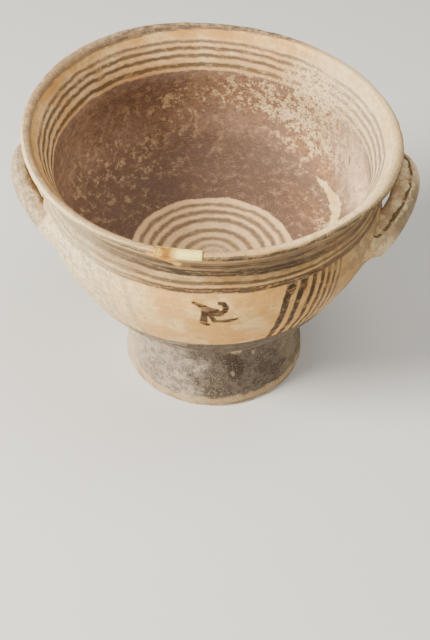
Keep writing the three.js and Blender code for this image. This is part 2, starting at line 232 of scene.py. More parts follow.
def paint_fields(q, s):
    """What the painted material reads at each point: its place on the unwarped vessel, how the paint has lasted there,
    and where painted light falls on the lip and inside.
    """
    deg = np.degrees(np.arctan2(q[..., 1], q[..., 0]))
    z = q[..., 2]
    drift = around(DRIFT, deg) * smooth(4, 14, s) * (1 - 0.85 * smooth(22, 30, s)) * (1 - smooth(44, 60, s))
    inside = (s < 0).astype(float)
    t = lambda mid, half: bell(turn(deg, mid), 0, half)
    wear = (0.50 * t(48, 13) * bell(z, 106, 15) + 0.40 * t(46, 11) * bell(z, 119, 7) + 0.32 * t(56, 9) * bell(z, 95, 6)
            + 0.40 * t(70, 15) * bell(z, 96, 3.5) + 0.38 * t(72, 15) * bell(z, 107, 7) + 0.34 * t(46, 20) * bell(z, 85, 9)
            + 0.28 * t(28, 10) * bell(z, 99, 13) + 0.26 * t(5, 30) * bell(z, 70, 6) + 0.24 * t(100, 20) * bell(z, 98, 10)
            + 0.25 * t(26, 26) * bell(z, 117, 9) + 0.17 * t(140, 40) * bell(z, 78, 14))
    # a run of lime that dried along the foot of the right wall
    way = np.interp(turn(deg, 0), [10, 16, 20, 25, 30, 34, 38], [69.2, 71.4, 72.4, 73.2, 73.7, 74.1, 74.4])
    wide = np.interp(turn(deg, 0), [8, 13, 17, 22, 28, 33, 39], [0.6, 1.5, 2.1, 2.2, 1.3, 1.1, 0.5])
    lime = np.exp(-(((z - way) / wide) ** 4)) * smooth(7, 11, turn(deg, 0)) * (1 - smooth(36, 41, turn(deg, 0)))
    # pale patches inside, most on the right wall: scoured slip in part, and in part painted light where the lamp falls
    pale = (1.0 * t(20, 17) * bell(z, 101, 17) + 0.85 * t(8, 15) * bell(z, 87, 10) + 0.22 * t(160, 16) * bell(z, 98, 13) + 0.30 * t(38, 12) * bell(z, 95, 8)
            + 0.25 * t(-35, 25) * bell(z, 95, 25))
    rust = (0.95 * t(50, 12) * bell(z, 84, 5) + 0.85 * t(37, 9) * bell(z, 79, 5) + 0.45 * t(72, 18) * bell(z, 104, 13)
            + 0.55 * t(-18, 18) * bell(z, 66.5, 3.5) + 0.45 * t(25, 20) * bell(z, 67.5, 2.5) + 0.35 * t(-172, 16) * bell(z, 76, 8))
    earth = 0.75 * t(78, 24) * bell(z, 76, 5) + 0.5 * t(55, 20) * bell(z, 69, 5) + 0.55 * t(150, 26) * bell(z, 73, 5) + 0.4 * t(120, 25) * bell(z, 100, 9)
    return {"q": q, "s": s - drift, "keep": around(KEEP, deg), "veil": around(VEIL, deg), "stain": around(STAIN, deg),
            "chalk": around(CHALK, deg), "first": (s - around(FIRST_MID, deg)) / around(FIRST_HALF, deg),
            "first_keep": around(FIRST_KEEP, deg), "lip_coat": around(LIP_COAT, deg), "lip_in": s + around(LIP_IN, deg),
            "lip_out": s - around(LIP_OUT, deg), "lip_edge": around(LIP_EDGE, deg), "crest": around(CREST, deg) * bell(s, 0.1, 1.3),
            "wear": np.clip(wear, 0, 1) * inside, "lime": np.clip(lime, 0, 1) * inside, "pale": np.clip(pale, 0, 1) * inside,
            "rust": np.clip(rust, 0, 1) * inside, "earth": np.clip(earth, 0, 1) * inside}


def flat_fields(fields):
    return {k: (v.reshape(-1, 3) if v.ndim > 2 or k == "q" else v.ravel()) for k, v in fields.items()}


def make_object(name, verts_mm, faces, attributes, material):
    me = bpy.data.meshes.new(name)
    me.from_pydata((np.asarray(verts_mm) / 1000).tolist(), [], faces)
    me.validate()
    for key, values in attributes.items():
        values = np.asarray(values, np.float32)
        if values.ndim == 2:
            at = me.attributes.new(key, "FLOAT_VECTOR", "POINT")
            at.data.foreach_set("vector", values.ravel())
        else:
            at = me.attributes.new(key, "FLOAT", "POINT")
            at.data.foreach_set("value", values)
    me.polygons.foreach_set("use_smooth", [True] * len(me.polygons))
    me.materials.append(material)
    me.update()
    ob = bpy.data.objects.new(name, me)
    bpy.context.scene.collection.objects.link(ob)
    return ob


def grid_faces(rows, cols, close_rows):
    faces = []
    last = rows if close_rows else rows - 1
    for i in range(last):
        a, b = i * cols, ((i + 1) % rows) * cols
        for j in range(cols):
            k = (j + 1) % cols
            faces.append((a + j, a + k, b + k, b + j))
    return faces


def normals_of(pos, close_rows):
    du = np.roll(pos, -1, 1) - np.roll(pos, 1, 1)
    if close_rows:
        dv = np.roll(pos, -1, 0) - np.roll(pos, 1, 0)
    else:
        dv = np.gradient(pos, axis=0)
    n = np.cross(du, dv)
    return n / np.maximum(np.linalg.norm(n, axis=-1, keepdims=True), 1e-9)


def clay_relief(q, strength=1.0):
    """What the hand, the wiping cloth and the ground left on the clay, in mm along the normal."""
    a = np.arctan2(q[..., 1], q[..., 0])
    wheel = np.stack([a * 4.0, np.zeros_like(a), q[..., 2] * 1.0 + np.hypot(q[..., 0], q[..., 1]) * 0.6], -1)
    d = 0.24 * noise(q, 31, 1) + 0.11 * noise(q, 13, 2) + 0.035 * noise(q, 4.2, 3) + 0.02 * noise(q, 1.9, 4)
    d += 0.05 * noise(wheel * [1, 1, 1], 2.3, 5) + 0.03 * noise(wheel, 1.1, 6)
    pits = noise(q, 2.6, 7) + 0.4 * noise(q, 1.4, 8)
    d -= 0.16 * smooth(0.84, 1.15, pits)
    return d * strength


def within(verts):
    """Keeps a piece inside the CAD's own box, which its thin relief could pass by less than a tenth of a millimetre."""
    lo, hi = np.array(cad_lo) * 1000 + 0.03, np.array(cad_hi) * 1000 - 0.03
    verts[:, :2] = np.clip(verts[:, :2], lo[:2], hi[:2])
    verts[:, 2] = np.minimum(verts[:, 2], hi[2])
    return verts


def wall_drop(q, s, lip):
    """How the wall's outside departs from the drawn curve, in mm. The bowl and the collar share it, so no step shows."""
    deg = np.degrees(np.arctan2(q[..., 1], q[..., 0]))
    d = clay_relief(q) * (1 - 0.62 * lip) - 0.30
    # finger marks and slow unevenness of the wall, kept off the lip
    d = d - (1 - lip) * 0.16 * (1 + noise(np.stack([np.radians(deg) * 20, 0 * s, s], -1), 17, 9))
    # the lower wall is a little flatter towards the front right
    return d - 0.95 * bell(turn(deg, -25), 0, 35) * bell(q[..., 2], 69, 12) * (s > 0)


# ---- the bowl
def build_bowl(wall, inner):
    line, run, top = LINE, LINE_S, TOP
    cols = 480
    rings = line[1:-1]
    a = np.linspace(-math.pi, math.pi, cols, endpoint=False)
    deg = np.degrees(a)[None, :]
    r, z = rings[:, 0][:, None], rings[:, 1][:, None]
    s = run[1:-1][:, None] + 0 * a
    q = np.stack([r * np.cos(a), r * np.sin(a), z + 0 * a], -1)
    pos = q.copy()
    n = normals_of(pos, False)
    out = np.sign((n[len(n) // 4, 0] * pos[len(n) // 4, 0]).sum()) or 1.0
    n = n * out
    lip = smooth(-7, -3, s) * (1 - smooth(4, 9, s))
    d = wall_drop(q, s, lip)
    fields = paint_fields(q, s)
    # lime crust and flaked slip inside, mostly at the back right
    crust = smooth(0.10, 0.75, 0.55 * noise(q, 8, 11) + 0.40 * noise(q, 3.4, 12) + 1.25 * fields["wear"] - 0.42)
    d = d + crust * 0.15
    # flakes of slip lost from the upper wall outside
    flakes = smooth(0.50, 0.62, noise(q, 5.5, 18) * 0.7 + noise(q, 2.2, 19) * 0.45) * smooth(2, 5, s) * (1 - smooth(40, 60, s))
    d = d - flakes * 0.10
    # the lip: its outer arris is chipped here and there, and its top is a little flattened
    near = smooth(-2.5, 0.5, s) * (1 - smooth(4.5, 6.5, s))
    chips = np.zeros_like(d)
    for at, wide, deep in ((-128, 3.0, 0.8), (-137, 1.6, 0.6), (-119, 2.2, 0.8), (-113.5, 1.1, 0.5), (-88, 1.3, 0.35),
                           (-80, 2.0, 0.35), (-70, 3.0, 0.45), (-58, 1.6, 0.6), (-51, 1.2, 0.5), (-44, 2.2, 0.4),
                           (22, 3.0, 0.5), (47, 2.0, 0.45), (71, 1.1, 0.5), (96, 2.2, 0.5), (133, 2.2, 0.4), (161, 2.4, 0.5),
                           (-168, 1.5, 0.5), (-20, 2.6, 0.5), (3, 1.4, 0.45)):
        chips += deep * np.exp(-((turn(deg, at) / wide) ** 2)) * (0.55 + 0.45 * np.cos(np.clip((s - 3.0) / 3.0, -1, 1) * math.pi))
    d = d - near * chips * (0.75 + 0.5 * noise(q, 2.6, 14))
    d = d - near * 0.12 * (1 + noise(q, 6, 15))
    # the loss in the lip that the pale fill sits in
    seat = (np.abs(turn(deg, FILL_MID)) < FILL_HALF).astype(float) * smooth(129.6, 130.3, z + 0 * a)
    d = np.where(seat > 0.5, -1.1, d)
    # the outside of the lip is thicker towards the right handle
    share = np.interp(s, [0.0, 0.9, 1.8, 3.2, 4.6, 7.8, 12.9, 18.5], [0, 0.08, 0.3, 0.65, 1, 1, 0.3, 0]) * (s > 0)
    thick = 1.8 * np.exp(-((turn(deg, -18) / 24) ** 2)) * share
    pos = warp(pos + n * d[..., None] + thick[..., None] * np.stack([np.cos(a), np.sin(a), 0 * a], -1))
    rows = len(rings)
    verts = pos.reshape(-1, 3)
    p0 = warp(np.array([[1e-6, 0, line[0, 1] + 0.35]]))
    p1 = warp(np.array([[1e-6, 0, line[-1, 1] - 0.35]]))
    verts = np.vstack([verts, p0, p1])
    verts[:, :2] += SHIFT
    verts = within(verts)
    ends = paint_fields(np.array([[1e-3, 0, line[0, 1]], [1e-3, 0, line[-1, 1]]]), np.array([run[0], run[-1]]))
    fields = flat_fields(fields)
    fields = {k: np.concatenate([v, ends[k]]) for k, v in fields.items()}
    faces = grid_faces(rows, cols, False)
    b0, e0 = len(verts) - 2, len(verts) - 1
    faces += [(b0, (j + 1) % cols, j) for j in range(cols)]
    b = (rows - 1) * cols
    faces += [(e0, b + j, b + (j + 1) % cols) for j in range(cols)]
    ob = make_object("bowl", verts, faces, fields, wall)
    # from 6 mm below the lip's top the inside has its own finish
    ob.data.materials.append(inner)
    half = (run[1:-2] + run[2:-1]) / 2
    which = np.concatenate([np.repeat(half < -6.0, cols), np.zeros(cols), np.ones(cols)])
    ob.data.polygons.foreach_set("material_index", which.astype(np.int32))
    return ob


# ---- rings of revolution that close on themselves: foot and collar
def build_ring(name, section, step, cols, material, relief=1.0, inward=0.2, wall=False):
    line = spline(section, step, closed=True)
    a = np.linspace(-math.pi, math.pi, cols, endpoint=False)
    r, z = line[:, 0][:, None], line[:, 1][:, None]
    q = np.stack([r * np.cos(a), r * np.sin(a), z + 0 * a], -1)
    n = normals_of(q, True)
    i = int(np.argmax(line[:, 0]))
    if (n[i, 0, :2] @ q[i, 0, :2]) < 0:
        n = -n
    d = wall_drop(q, lip_distance(q[..., 2]), 0.0) if wall else clay_relief(q, relief) - inward
    # the ground edge is knocked here and there
    for at, wide, deep in ((-118, 3.0, 0.5), (-96, 2.0, 0.4), (-61, 4.0, 0.6), (-20, 3.0, 0.5), (38, 4.0, 0.5), (104, 3.0, 0.6), (158, 4.0, 0.5)):
        d = d - deep * bell(turn(np.degrees(a)[None, :], at), 0, wide) * (1 - smooth(0.6, 3.5, q[..., 2])) * (r > 41)
    if wall:  # moved as the wall beside it is, so that its thin upper edge stays under the wall's surface
        n = np.stack([0.88 * np.cos(a) + 0 * r, 0.88 * np.sin(a) + 0 * r, -0.475 + 0 * r * a], -1)
    pos = q + n * d[..., None]
    pos[..., 2] = np.where(line[:, 1][:, None] <= 0.02, 0.0, np.maximum(pos[..., 2], 0.0))
    pos = warp(pos).reshape(-1, 3)
    pos[:, :2] += SHIFT
    faces = grid_faces(len(line), cols, True)
    fields = flat_fields(paint_fields(q, np.where(q[..., 2] > 54, lip_distance(q[..., 2]), 86.0 + (54 - q[..., 2]))))
    return make_object(name, pos, faces, fields, material)


# ---- handles
def handle_line(h, steps=96):
    t = np.linspace(-1.06, 1.06, steps)
    tt = np.clip(t, -1, 1)
    a = np.radians(h["middle"] + h["spread"] * t)
    k = np.abs(np.cos(tt * math.pi / 2)) ** h["power"]
    z = h["root_z"] + (h["mid_z"] - h["root_z"]) * k
    r = wall_radius(z) + h["out"] * k - 3.2 * np.maximum(np.abs(t) - 1, 0) / 0.06
    return np.stack([h["side"] * r * np.cos(a), r * np.sin(a), z], -1), t


def build_handle(name, h, material):
    line, t = handle_line(h)
    tangent = np.gradient(line, axis=0)
    tangent /= np.linalg.norm(tangent, axis=1, keepdims=True)
    outward = line * [1, 1, 0]
    outward /= np.linalg.norm(outward, axis=1, keepdims=True)
    up = np.cross(tangent, outward)
    up /= np.linalg.norm(up, axis=1, keepdims=True)
    up *= np.sign(up[len(up) // 2, 2])
    outward = np.cross(up, tangent)
    outward *= np.sign((outward * line * [1, 1, 0]).sum(1))[:, None]
    cols = 48
    phi = np.linspace(0, 2 * math.pi, cols, endpoint=False)
    swell = 1 + 0.10 * np.abs(t) ** 2.5 + 0.03 * noise(line, 9, 31) - 0.02
    wide = (h["coil"][0] * swell)[:, None]
    tall = (h["coil"][1] * (1 + 0.12 * np.abs(t) ** 2.5) * (1 + 0.03 * noise(line, 11, 32)))[:, None]
    c, s = np.cos(phi), np.sin(phi)
    ex = np.sign(c) * np.abs(c) ** 0.94
    ey = np.sign(s) * np.abs(s) ** 0.94
    pos = (line[:, None, :] + outward[:, None, :] * (wide * ex)[..., None] + up[:, None, :] * (tall * ey)[..., None])
    n = pos - line[:, None, :]
    n /= np.linalg.norm(n, axis=-1, keepdims=True)
    pos = pos + n * (clay_relief(pos, 0.8) - 0.12)[..., None]
    q = pos.copy()
    rows = len(line)
    verts = np.vstack([pos.reshape(-1, 3), line[:1], line[-1:]])
    verts[:, :2] += SHIFT
    verts = within(verts)
    face = [tuple(f) for f in grid_faces(rows, cols, False)]
    s0, e0 = len(verts) - 2, len(verts) - 1
    face += [(s0, (j + 1) % cols, j) for j in range(cols)]
    b = (rows - 1) * cols
    face += [(e0, b + j, b + (j + 1) % cols) for j in range(cols)]
    side = np.append(np.broadcast_to(c, (rows, cols)).ravel(), [0, 0])
    above = np.append(np.broadcast_to(s, (rows, cols)).ravel(), [0, 0])
    along = np.append(np.broadcast_to(t[:, None], (rows, cols)).ravel(), [-1.06, 1.06])
    qq = np.vstack([q.reshape(-1, 3), line[:1], line[-1:]])
    ob = make_object(name, verts, face, {"q": qq, "outer": side, "above": above, "along": along}, material)
    fix_normals(ob)
    return ob


def build_pad(name, h, end, material):
    """The clay pressed round a handle's end: highest at the coil, thinning out to nothing on the wall."""
    rows, cols = 22, 56
    a0 = h["middle"] + h["spread"] * 0.94 * end
    line, t = handle_line(h)
    root = line[np.argmin(np.abs(t - end * 0.96))]
    rho = np.linspace(0, 1, rows)[1:]
    phi = np.linspace(0, 2 * math.pi, cols, endpoint=False)
    rr, pp = np.meshgrid(rho, phi, indexing="ij")
    # along the wall (degrees) and up, with an uneven edge
    edge = 1 + 0.10 * np.sin(3 * phi + 1.3 * end) + 0.06 * np.sin(7 * phi + 0.5)
    u = rr * 12.6 * edge * np.cos(pp)
    v = rr * 9.4 * edge * np.sin(pp)
    ang = np.radians(a0) + u / 75.0
    zz = root[2] + v
    lift = 4.2 * (1 - smooth(0, 1, rr)) ** 1.15 - 0.75 * smooth(0.9, 1, rr) - 0.15
    rad = wall_radius(zz) + lift
    q = np.stack([h["side"] * rad * np.cos(ang), rad * np.sin(ang), zz], -1)
    flat = warp(q)
    centre_r = wall_radius(root[2]) + 4.0
    centre = np.array([h["side"] * centre_r * math.cos(math.radians(a0)), centre_r * math.sin(math.radians(a0)), root[2]])
    n = q * [1, 1, 0]
    n /= np.linalg.norm(n, axis=-1, keepdims=True)
    flat = flat + n * (clay_relief(q, 0.8) * (1 - rr))[..., None]
    back = warp(np.stack([h["side"] * (wall_radius(zz) - 1.6) * np.cos(ang), (wall_radius(zz) - 1.6) * np.sin(ang), zz], -1))
    m = len(rho)
    verts = np.vstack([flat.reshape(-1, 3), warp(centre[None]), back[-1], warp((root * [0.97, 0.97, 1])[None])])
    verts[:, :2] += SHIFT
    qs = np.vstack([q.reshape(-1, 3), centre[None], q[-1], root[None]])
    faces = grid_faces(m, cols, False)
    c = m * cols
    faces += [(c, (j + 1) % cols, j) for j in range(cols)]
    e = (m - 1) * cols
    k = c + 1
    faces += [(e + j, e + (j + 1) % cols, k + (j + 1) % cols, k + j) for j in range(cols)]
    faces += [(k + cols, k + j, k + (j + 1) % cols) for j in range(cols)]
    fields = flat_fields(paint_fields(qs, lip_distance(qs[:, 2])))
    # painted shade: brown in the crevice between the coil's end and the wall
    crevice = bell(u * -end, 4.0, 5.0) * bell(v, 4.5, 3.0)
    fields["seam_shade"] = np.concatenate([crevice.ravel(), [0.0], crevice[-1], [0.0]])
    ob = make_object(name, verts, faces, fields, material)
    fix_normals(ob)
    return ob


def fix_normals(ob):
    import bmesh
    bm = bmesh.new()
    bm.from_mesh(ob.data)
    bmesh.ops.recalc_face_normals(bm, faces=bm.faces)
    bm.to_mesh(ob.data)
    bm.free()
    ob.data.update()


def build_fill(name, material):
    """The pale fill: a straight-edged length of the lip's top, a little proud, with a scraped face."""
    section = [(74.9, 130.2), (77.4, 130.1), (79.6, 130.1), (80.0, 130.35), (80.15, 131.2), (79.45, 132.45), (77.4, 132.7),
               (75.5, 131.8), (74.7, 130.6)]
    line = spline(section, 0.35, closed=True)
    spans = 56
    deg = np.linspace(-FILL_HALF + 0.08, FILL_HALF - 0.08, spans)
    a = np.radians(FILL_MID + deg)[:, None]
    r, z = line[:, 0][None, :], line[:, 1][None, :]
    q = np.stack([r * np.cos(a), r * np.sin(a), z + 0 * a], -1)
    mid = np.stack([77.4 * np.cos(a[:, 0]), 77.4 * np.sin(a[:, 0]), 131.3 + 0 * a[:, 0]], -1)
    n = q - mid[:, None, :]
    n /= np.linalg.norm(n, axis=-1, keepdims=True)
    # ragged and sunken at its left end, crisp at its right end
    left = smooth(1.5, 6.8, -deg)[:, None]
    d = (0.07 + 0.16 * left) * noise(q, 2.8, 41) + 0.05 * noise(q, 1.2, 42) - 0.22 * left - 0.10 * smooth(6.3, 6.7, np.abs(deg))[:, None]
    pos = warp(q + n * d[..., None])
    cols = len(line)
    verts = np.vstack([pos.reshape(-1, 3), warp(mid[:1]), warp(mid[-1:])])
    verts[:, :2] += SHIFT
    verts = within(verts)
    faces = grid_faces(spans, cols, False)
    s, e = len(verts) - 2, len(verts) - 1
    faces += [(s, (j + 1) % cols, j) for j in range(cols)]
    b = (spans - 1) * cols
    faces += [(e, b + j, b + (j + 1) % cols) for j in range(cols)]
    qs = np.vstack([q.reshape(-1, 3), mid[:1], mid[-1:]])
    part = np.concatenate([np.repeat(deg, cols), [deg[0], deg[-1]]])
    ob = make_object(name, verts, faces, {"q": qs, "part": part}, material)
    fix_normals(ob)
    return ob


# ------------------------------------------------------------------ materials
def lin(r, g, b):
    f = lambda c: c / 12.92 if c <= 0.04045 else ((c + 0.055) / 1.055) ** 2.4
    return (f(r / 255), f(g / 255), f(b / 255), 1.0)


class Tree:
    def __init__(self, name):
        self.mat = bpy.data.materials.new(name)
        self.mat.use_nodes = True
        self.nt = self.mat.node_tree
        self.shader = self.nt.nodes["Principled BSDF"]

    def put(self, socket, value):
        if isinstance(value, bpy.types.NodeSocket):
            self.nt.links.new(value, socket)
        else:
            socket.default_value = value

    def node(self, kind, **props):
        n = self.nt.nodes.new(kind)
        for k, v in props.items():
            setattr(n, k, v)
        return n

    def attr(self, name):
        return self.node("ShaderNodeAttribute", attribute_name=name).outputs["Fac"]

    def m(self, op, a, b=None, c=None, clamp=False):
        n = self.node("ShaderNodeMath", operation=op, use_clamp=clamp)
        self.put(n.inputs[0], a)
        if b is not None:
            self.put(n.inputs[1], b)
        if c is not None:
            self.put(n.inputs[2], c)
        return n.outputs[0]

    def add(self, *terms):
        out = terms[0]
        for k in terms[1:]:
            out = self.m("ADD", out, k)
        return out

    def mul(self, *terms):
        out = terms[0]
        for k in terms[1:]:
            out = self.m("MULTIPLY", out, k)
        return out

    def most(self, *terms):
        out = terms[0]
        for k in terms[1:]:
            out = self.m("MAXIMUM", out, k)
        return out

    def off(self, n, k):
        """A noise's swing about its middle, times k."""
        return self.m("MULTIPLY", self.m("SUBTRACT", n, 0.5), k)

    def inv(self, a):
        return self.m("SUBTRACT", 1.0, a, clamp=True)

    def v(self, op, a, b=None, scale=None):
        n = self.node("ShaderNodeVectorMath", operation=op)
        self.put(n.inputs[0], a)
        if b is not None:
            self.put(n.inputs[1], b)
        if scale is not None:
            self.put(n.inputs["Scale"], scale)
        return n.outputs["Value"] if op in ("LENGTH", "DOT_PRODUCT", "DISTANCE") else n.outputs["Vector"]

    def xyz(self, x, y, z):
        n = self.node("ShaderNodeCombineXYZ")
        for i, k in enumerate((x, y, z)):
            self.put(n.inputs[i], k)
        return n.outputs[0]

    def noise(self, vec, scale, detail=3.0, rough=0.55, distortion=0.0):
        n = self.node("ShaderNodeTexNoise")
        self.put(n.inputs["Vector"], vec)
        n.inputs["Scale"].default_value = scale
        n.inputs["Detail"].default_value = detail
        n.inputs["Roughness"].default_value = rough
        n.inputs["Distortion"].default_value = distortion
        return self.m("MULTIPLY_ADD", n.outputs[0], 1.8, -0.4)  # spread, as the sum of octaves stays near the middle

    def step(self, x, lo, hi):
        n = self.node("ShaderNodeMapRange", interpolation_type="SMOOTHSTEP")
        self.put(n.inputs["Value"], x)
        n.inputs["From Min"].default_value = lo
        n.inputs["From Max"].default_value = hi
        return n.outputs[0]

    def ramp(self, fac, stops):
        n = self.node("ShaderNodeValToRGB")
        self.put(n.inputs[0], fac)
        e = n.color_ramp.elements
        while len(e) > 1:
            e.remove(e[-1])
        for i, (p, col) in enumerate(stops):
            if not isinstance(col, tuple):
                col = (col, col, col, 1)
            if i == 0:
                e[0].position, e[0].color = p, col
            else:
                x = e.new(p)
                x.color = col
        return n.outputs[0]

    def mix(self, fac, a, b, blend="MIX"):
        n = self.node("ShaderNodeMix", data_type="RGBA", blend_type=blend)
        self.put(n.inputs[0], fac)
        self.put(n.inputs[6], a)
        self.put(n.inputs[7], b)
        return n.outputs[2]

    def bands(self, z, lo, hi, spans, soft):
        """A mask that is as high as each span (low, high, value) says, over lo to hi."""
        spans = sorted(spans)
        if len(spans) > 7:
            return self.m("MAXIMUM", self.bands(z, lo, hi, spans[:7], soft), self.bands(z, lo, hi, spans[7:], soft))
        stops = [(0.0, 0.0)]
        for a, b, value in spans:
            e = min(soft, (b - a) * 0.45)
            for p, val in ((a - e, 0.0), (a + e, value), (b - e, value), (b + e, 0.0)):
                stops.append((min(max((p - lo) / (hi - lo), 0), 1), val))
        fac = self.m("DIVIDE", self.m("SUBTRACT", z, lo), hi - lo)
        return self.ramp(fac, stops)

    def stroke(self, p, a, b, radius, soft=0.25):
        """A mask along a brushed line from a to b in the plane of p."""
        ba = (b[0] - a[0], b[1] - a[1], 0.0)
        length2 = ba[0] ** 2 + ba[1] ** 2
        pa = self.v("SUBTRACT", p, (a[0], a[1], 0.0))
        h = self.m("DIVIDE", self.v("DOT_PRODUCT", pa, ba), length2, clamp=True)
        n = self.node("ShaderNodeVectorMath", operation="SCALE")
        n.inputs[0].default_value = ba
        self.put(n.inputs["Scale"], h)
        d = self.v("LENGTH", self.v("SUBTRACT", pa, n.outputs["Vector"]))
        return self.m("SUBTRACT", 1.0, self.step(d, radius - soft, radius + soft))

    def places(self):
        """The place and the directions that the clay materials share."""
        self.q = self.node("ShaderNodeAttribute", attribute_name="q").outputs["Vector"]
        sep = self.node("ShaderNodeSeparateXYZ")
        self.put(sep.inputs[0], self.q)
        self.x, self.y, self.z = sep.outputs
        self.unit = self.v("NORMALIZE", self.xyz(self.x, self.y, 0.0))
        self.angle = self.m("MULTIPLY", self.m("ARCTAN2", self.y, self.x), 180 / math.pi)

    def swept(self, k, across):
        """A place that runs slowly round the vessel and fast across."""
        return self.xyz(self.v("DOT_PRODUCT", self.unit, (k, 0.0, 0.0)), self.v("DOT_PRODUCT", self.unit, (0.0, k, 0.0)), across)


CREAM = lin(226, 182, 124)
CREAM_LIGHT = lin(240, 210, 158)
CREAM_DEEP = lin(204, 162, 108)
CHALK_WHITE = lin(240, 231, 202)
DARK = lin(70, 57, 46)
DARK_OLIVE = lin(94, 79, 62)
TAUPE = lin(128, 112, 94)
TAUPE_DARK = lin(100, 87, 73)


def washed(t, n_mid, n_patch, n_speck):
    """The thin grey-brown wash on the foot and below the panel, blotched, rubbed and flecked. Returns its colour."""
    x, y, z, q, angle = t.x, t.y, t.z, t.q, t.angle
    n_grain = t.noise(q, 0.75, 4.0, 0.65)
    grey = t.mix(t.step(n_mid, 0.40, 0.58), lin(134, 122, 108), lin(166, 153, 136))
    grey = t.mix(t.mul(t.step(n_patch, 0.50, 0.64), 0.55), grey, lin(118, 107, 94))
    grey = t.mix(t.mul(t.step(n_grain, 0.56, 0.68), 0.55), grey, lin(196, 182, 160))
    brown = t.mix(t.step(n_mid, 0.42, 0.60), lin(88, 78, 67), lin(110, 99, 87))
    brown = t.mix(t.mul(t.step(n_patch, 0.46, 0.60), 0.6), brown, lin(76, 66, 55))
    brown = t.mix(t.mul(t.step(n_grain, 0.60, 0.72), 0.35), brown, lin(156, 136, 112))
    olive = t.mix(t.step(n_patch, 0.42, 0.62), lin(148, 132, 108), lin(124, 109, 88))
    wobble = t.add(angle, t.off(n_patch, 34.0), t.off(n_mid, 12.0))
    front = t.step(t.mul(y, -1.0), -6.0, 8.0)
    into = t.mul(t.step(wobble, -106.0, -96.0), front)
    out = t.step(wobble, -46.0, -36.0)
    # round the back the wash is an even mid brown
    mid = t.mix(t.step(n_mid, 0.40, 0.62), lin(124, 107, 86), lin(150, 132, 108))
    col = t.mix(t.step(t.mul(x, -1.0), -18.0, 10.0), mid, grey)
    col = t.mix(t.mul(into, 0.92), col, brown)
    col = t.mix(t.mul(out, 0.85, front), col, olive)
    # painted light: a warm light margin on the left edge, the side that faces the lamp
    far_left_light = t.mul(t.step(t.mul(x, -1.0), 30.0, 42.0), 0.6)
    col = t.mix(far_left_light, col, t.mix(n_mid, lin(206, 186, 158), lin(224, 206, 178)))
    # blotches, bare patches and chips where the eye goes first
    u = t.m("MULTIPLY", t.m("ADD", angle, 90.0), 0.74)
    place = t.xyz(t.add(u, t.off(n_mid, 5.0)), t.add(z, t.off(n_grain, 3.0)), 0.0)
    blotch = t.mul(t.stroke(place, (8.0, 31.0), (11.0, 19.0), 3.6, 1.6), front)
    col = t.mix(t.mul(blotch, 0.8), col, lin(66, 52, 38))
    bare = t.mul(t.most(t.stroke(place, (7.0, 38.5), (10.5, 36.5), 2.5, 1.2), t.stroke(place, (-9.0, 40.0), (-1.5, 40.5), 1.5, 0.9)), front)
    col = t.mix(t.mul(bare, 0.75), col, lin(216, 194, 150))
    fine = t.xyz(t.add(u, t.off(n_grain, 1.2)), t.add(z, t.off(n_mid, 1.5)), 0.0)
    chips = None
    for a, b, rad in (((8.8, 20.5), (9.2, 19.0), 0.7), ((18.5, 32.5), (19.0, 30.5), 0.8), ((-5.6, 25.0), (-4.8, 23.0), 0.7),
                      ((-24.0, 33.5), (-21.5, 30.5), 0.8), ((-15.0, 6.0), (-14.0, 4.5), 0.8), ((-19.0, 18.0), (-16.0, 15.5), 1.1)):
        m = t.stroke(fine, a, b, rad, 0.45)
        chips = m if chips is None else t.most(chips, m)
    col = t.mix(t.mul(chips, front, 0.45), col, lin(206, 188, 160))
    flecks = t.step(t.add(n_speck, t.off(n_patch, 0.35)), 0.70, 0.77)
    col = t.mix(t.mul(flecks, 0.6), col, lin(204, 184, 154))
    return col


def slip(t):
    """The noises and the cream slip that all painted faces share. Positions come from each point's own place on the
    unwarped vessel, in millimetres; s is the way from the lip's top along the wall."""
    t.places()
    q = t.q
    s = t.s = t.attr("s")
    t.n_wide = t.noise(t.swept(3.0, t.mul(s, 0.02)), 1.6, 2.0)
    t.n_brush = t.noise(t.swept(9.0, s), 0.9, 4.0, 0.6)
    t.n_fine = t.noise(q, 1.25, 3.0, 0.6)
    t.n_mid = t.noise(q, 0.28, 4.0, 0.6)
    t.n_patch = t.noise(q, 0.13, 4.0, 0.6)
    t.n_speck = t.noise(q, 2.6, 2.0, 0.5)
    t.n_curl = t.noise(q, 0.50, 3.0, 0.6, 1.6)
    n_big = t.noise(q, 0.055, 4.0, 0.55)
    cream = t.mix(t.step(n_big, 0.35, 0.68), CREAM, CREAM_LIGHT)
    cream = t.mix(t.mul(t.step(t.n_patch, 0.46, 0.66), 0.50), cream, CREAM_DEEP)
    cream = t.mix(t.mul(t.step(t.n_mid, 0.54, 0.68), 0.35), cream, lin(206, 168, 112))
    cream = t.mix(t.mul(t.step(t.n_brush, 0.5, 0.72), 0.30), cream, CREAM_DEEP)
    cream = t.mix(t.mul(t.step(t.n_fine, 0.58, 0.70), 0.28), cream, CREAM_LIGHT)
    return t.mix(t.mul(t.step(t.n_speck, 0.74, 0.82), 0.45), cream, lin(152, 116, 76))


def right_side(t):
    return t.mul(t.step(t.x, 20.0, 60.0), t.inv(t.step(t.y, 50.0, 68.0)))


def bright_side(t, cream, on_right):
    """The slip inside is brighter on the right, where the paint has gone and lime has dried on it, and in part painted
    light where the lamp falls on that wall.
    """
    return t.mix(t.mul(on_right, 0.62), cream, t.mix(t.step(t.n_mid, 0.4, 0.6), lin(248, 236, 200), lin(240, 218, 176)))


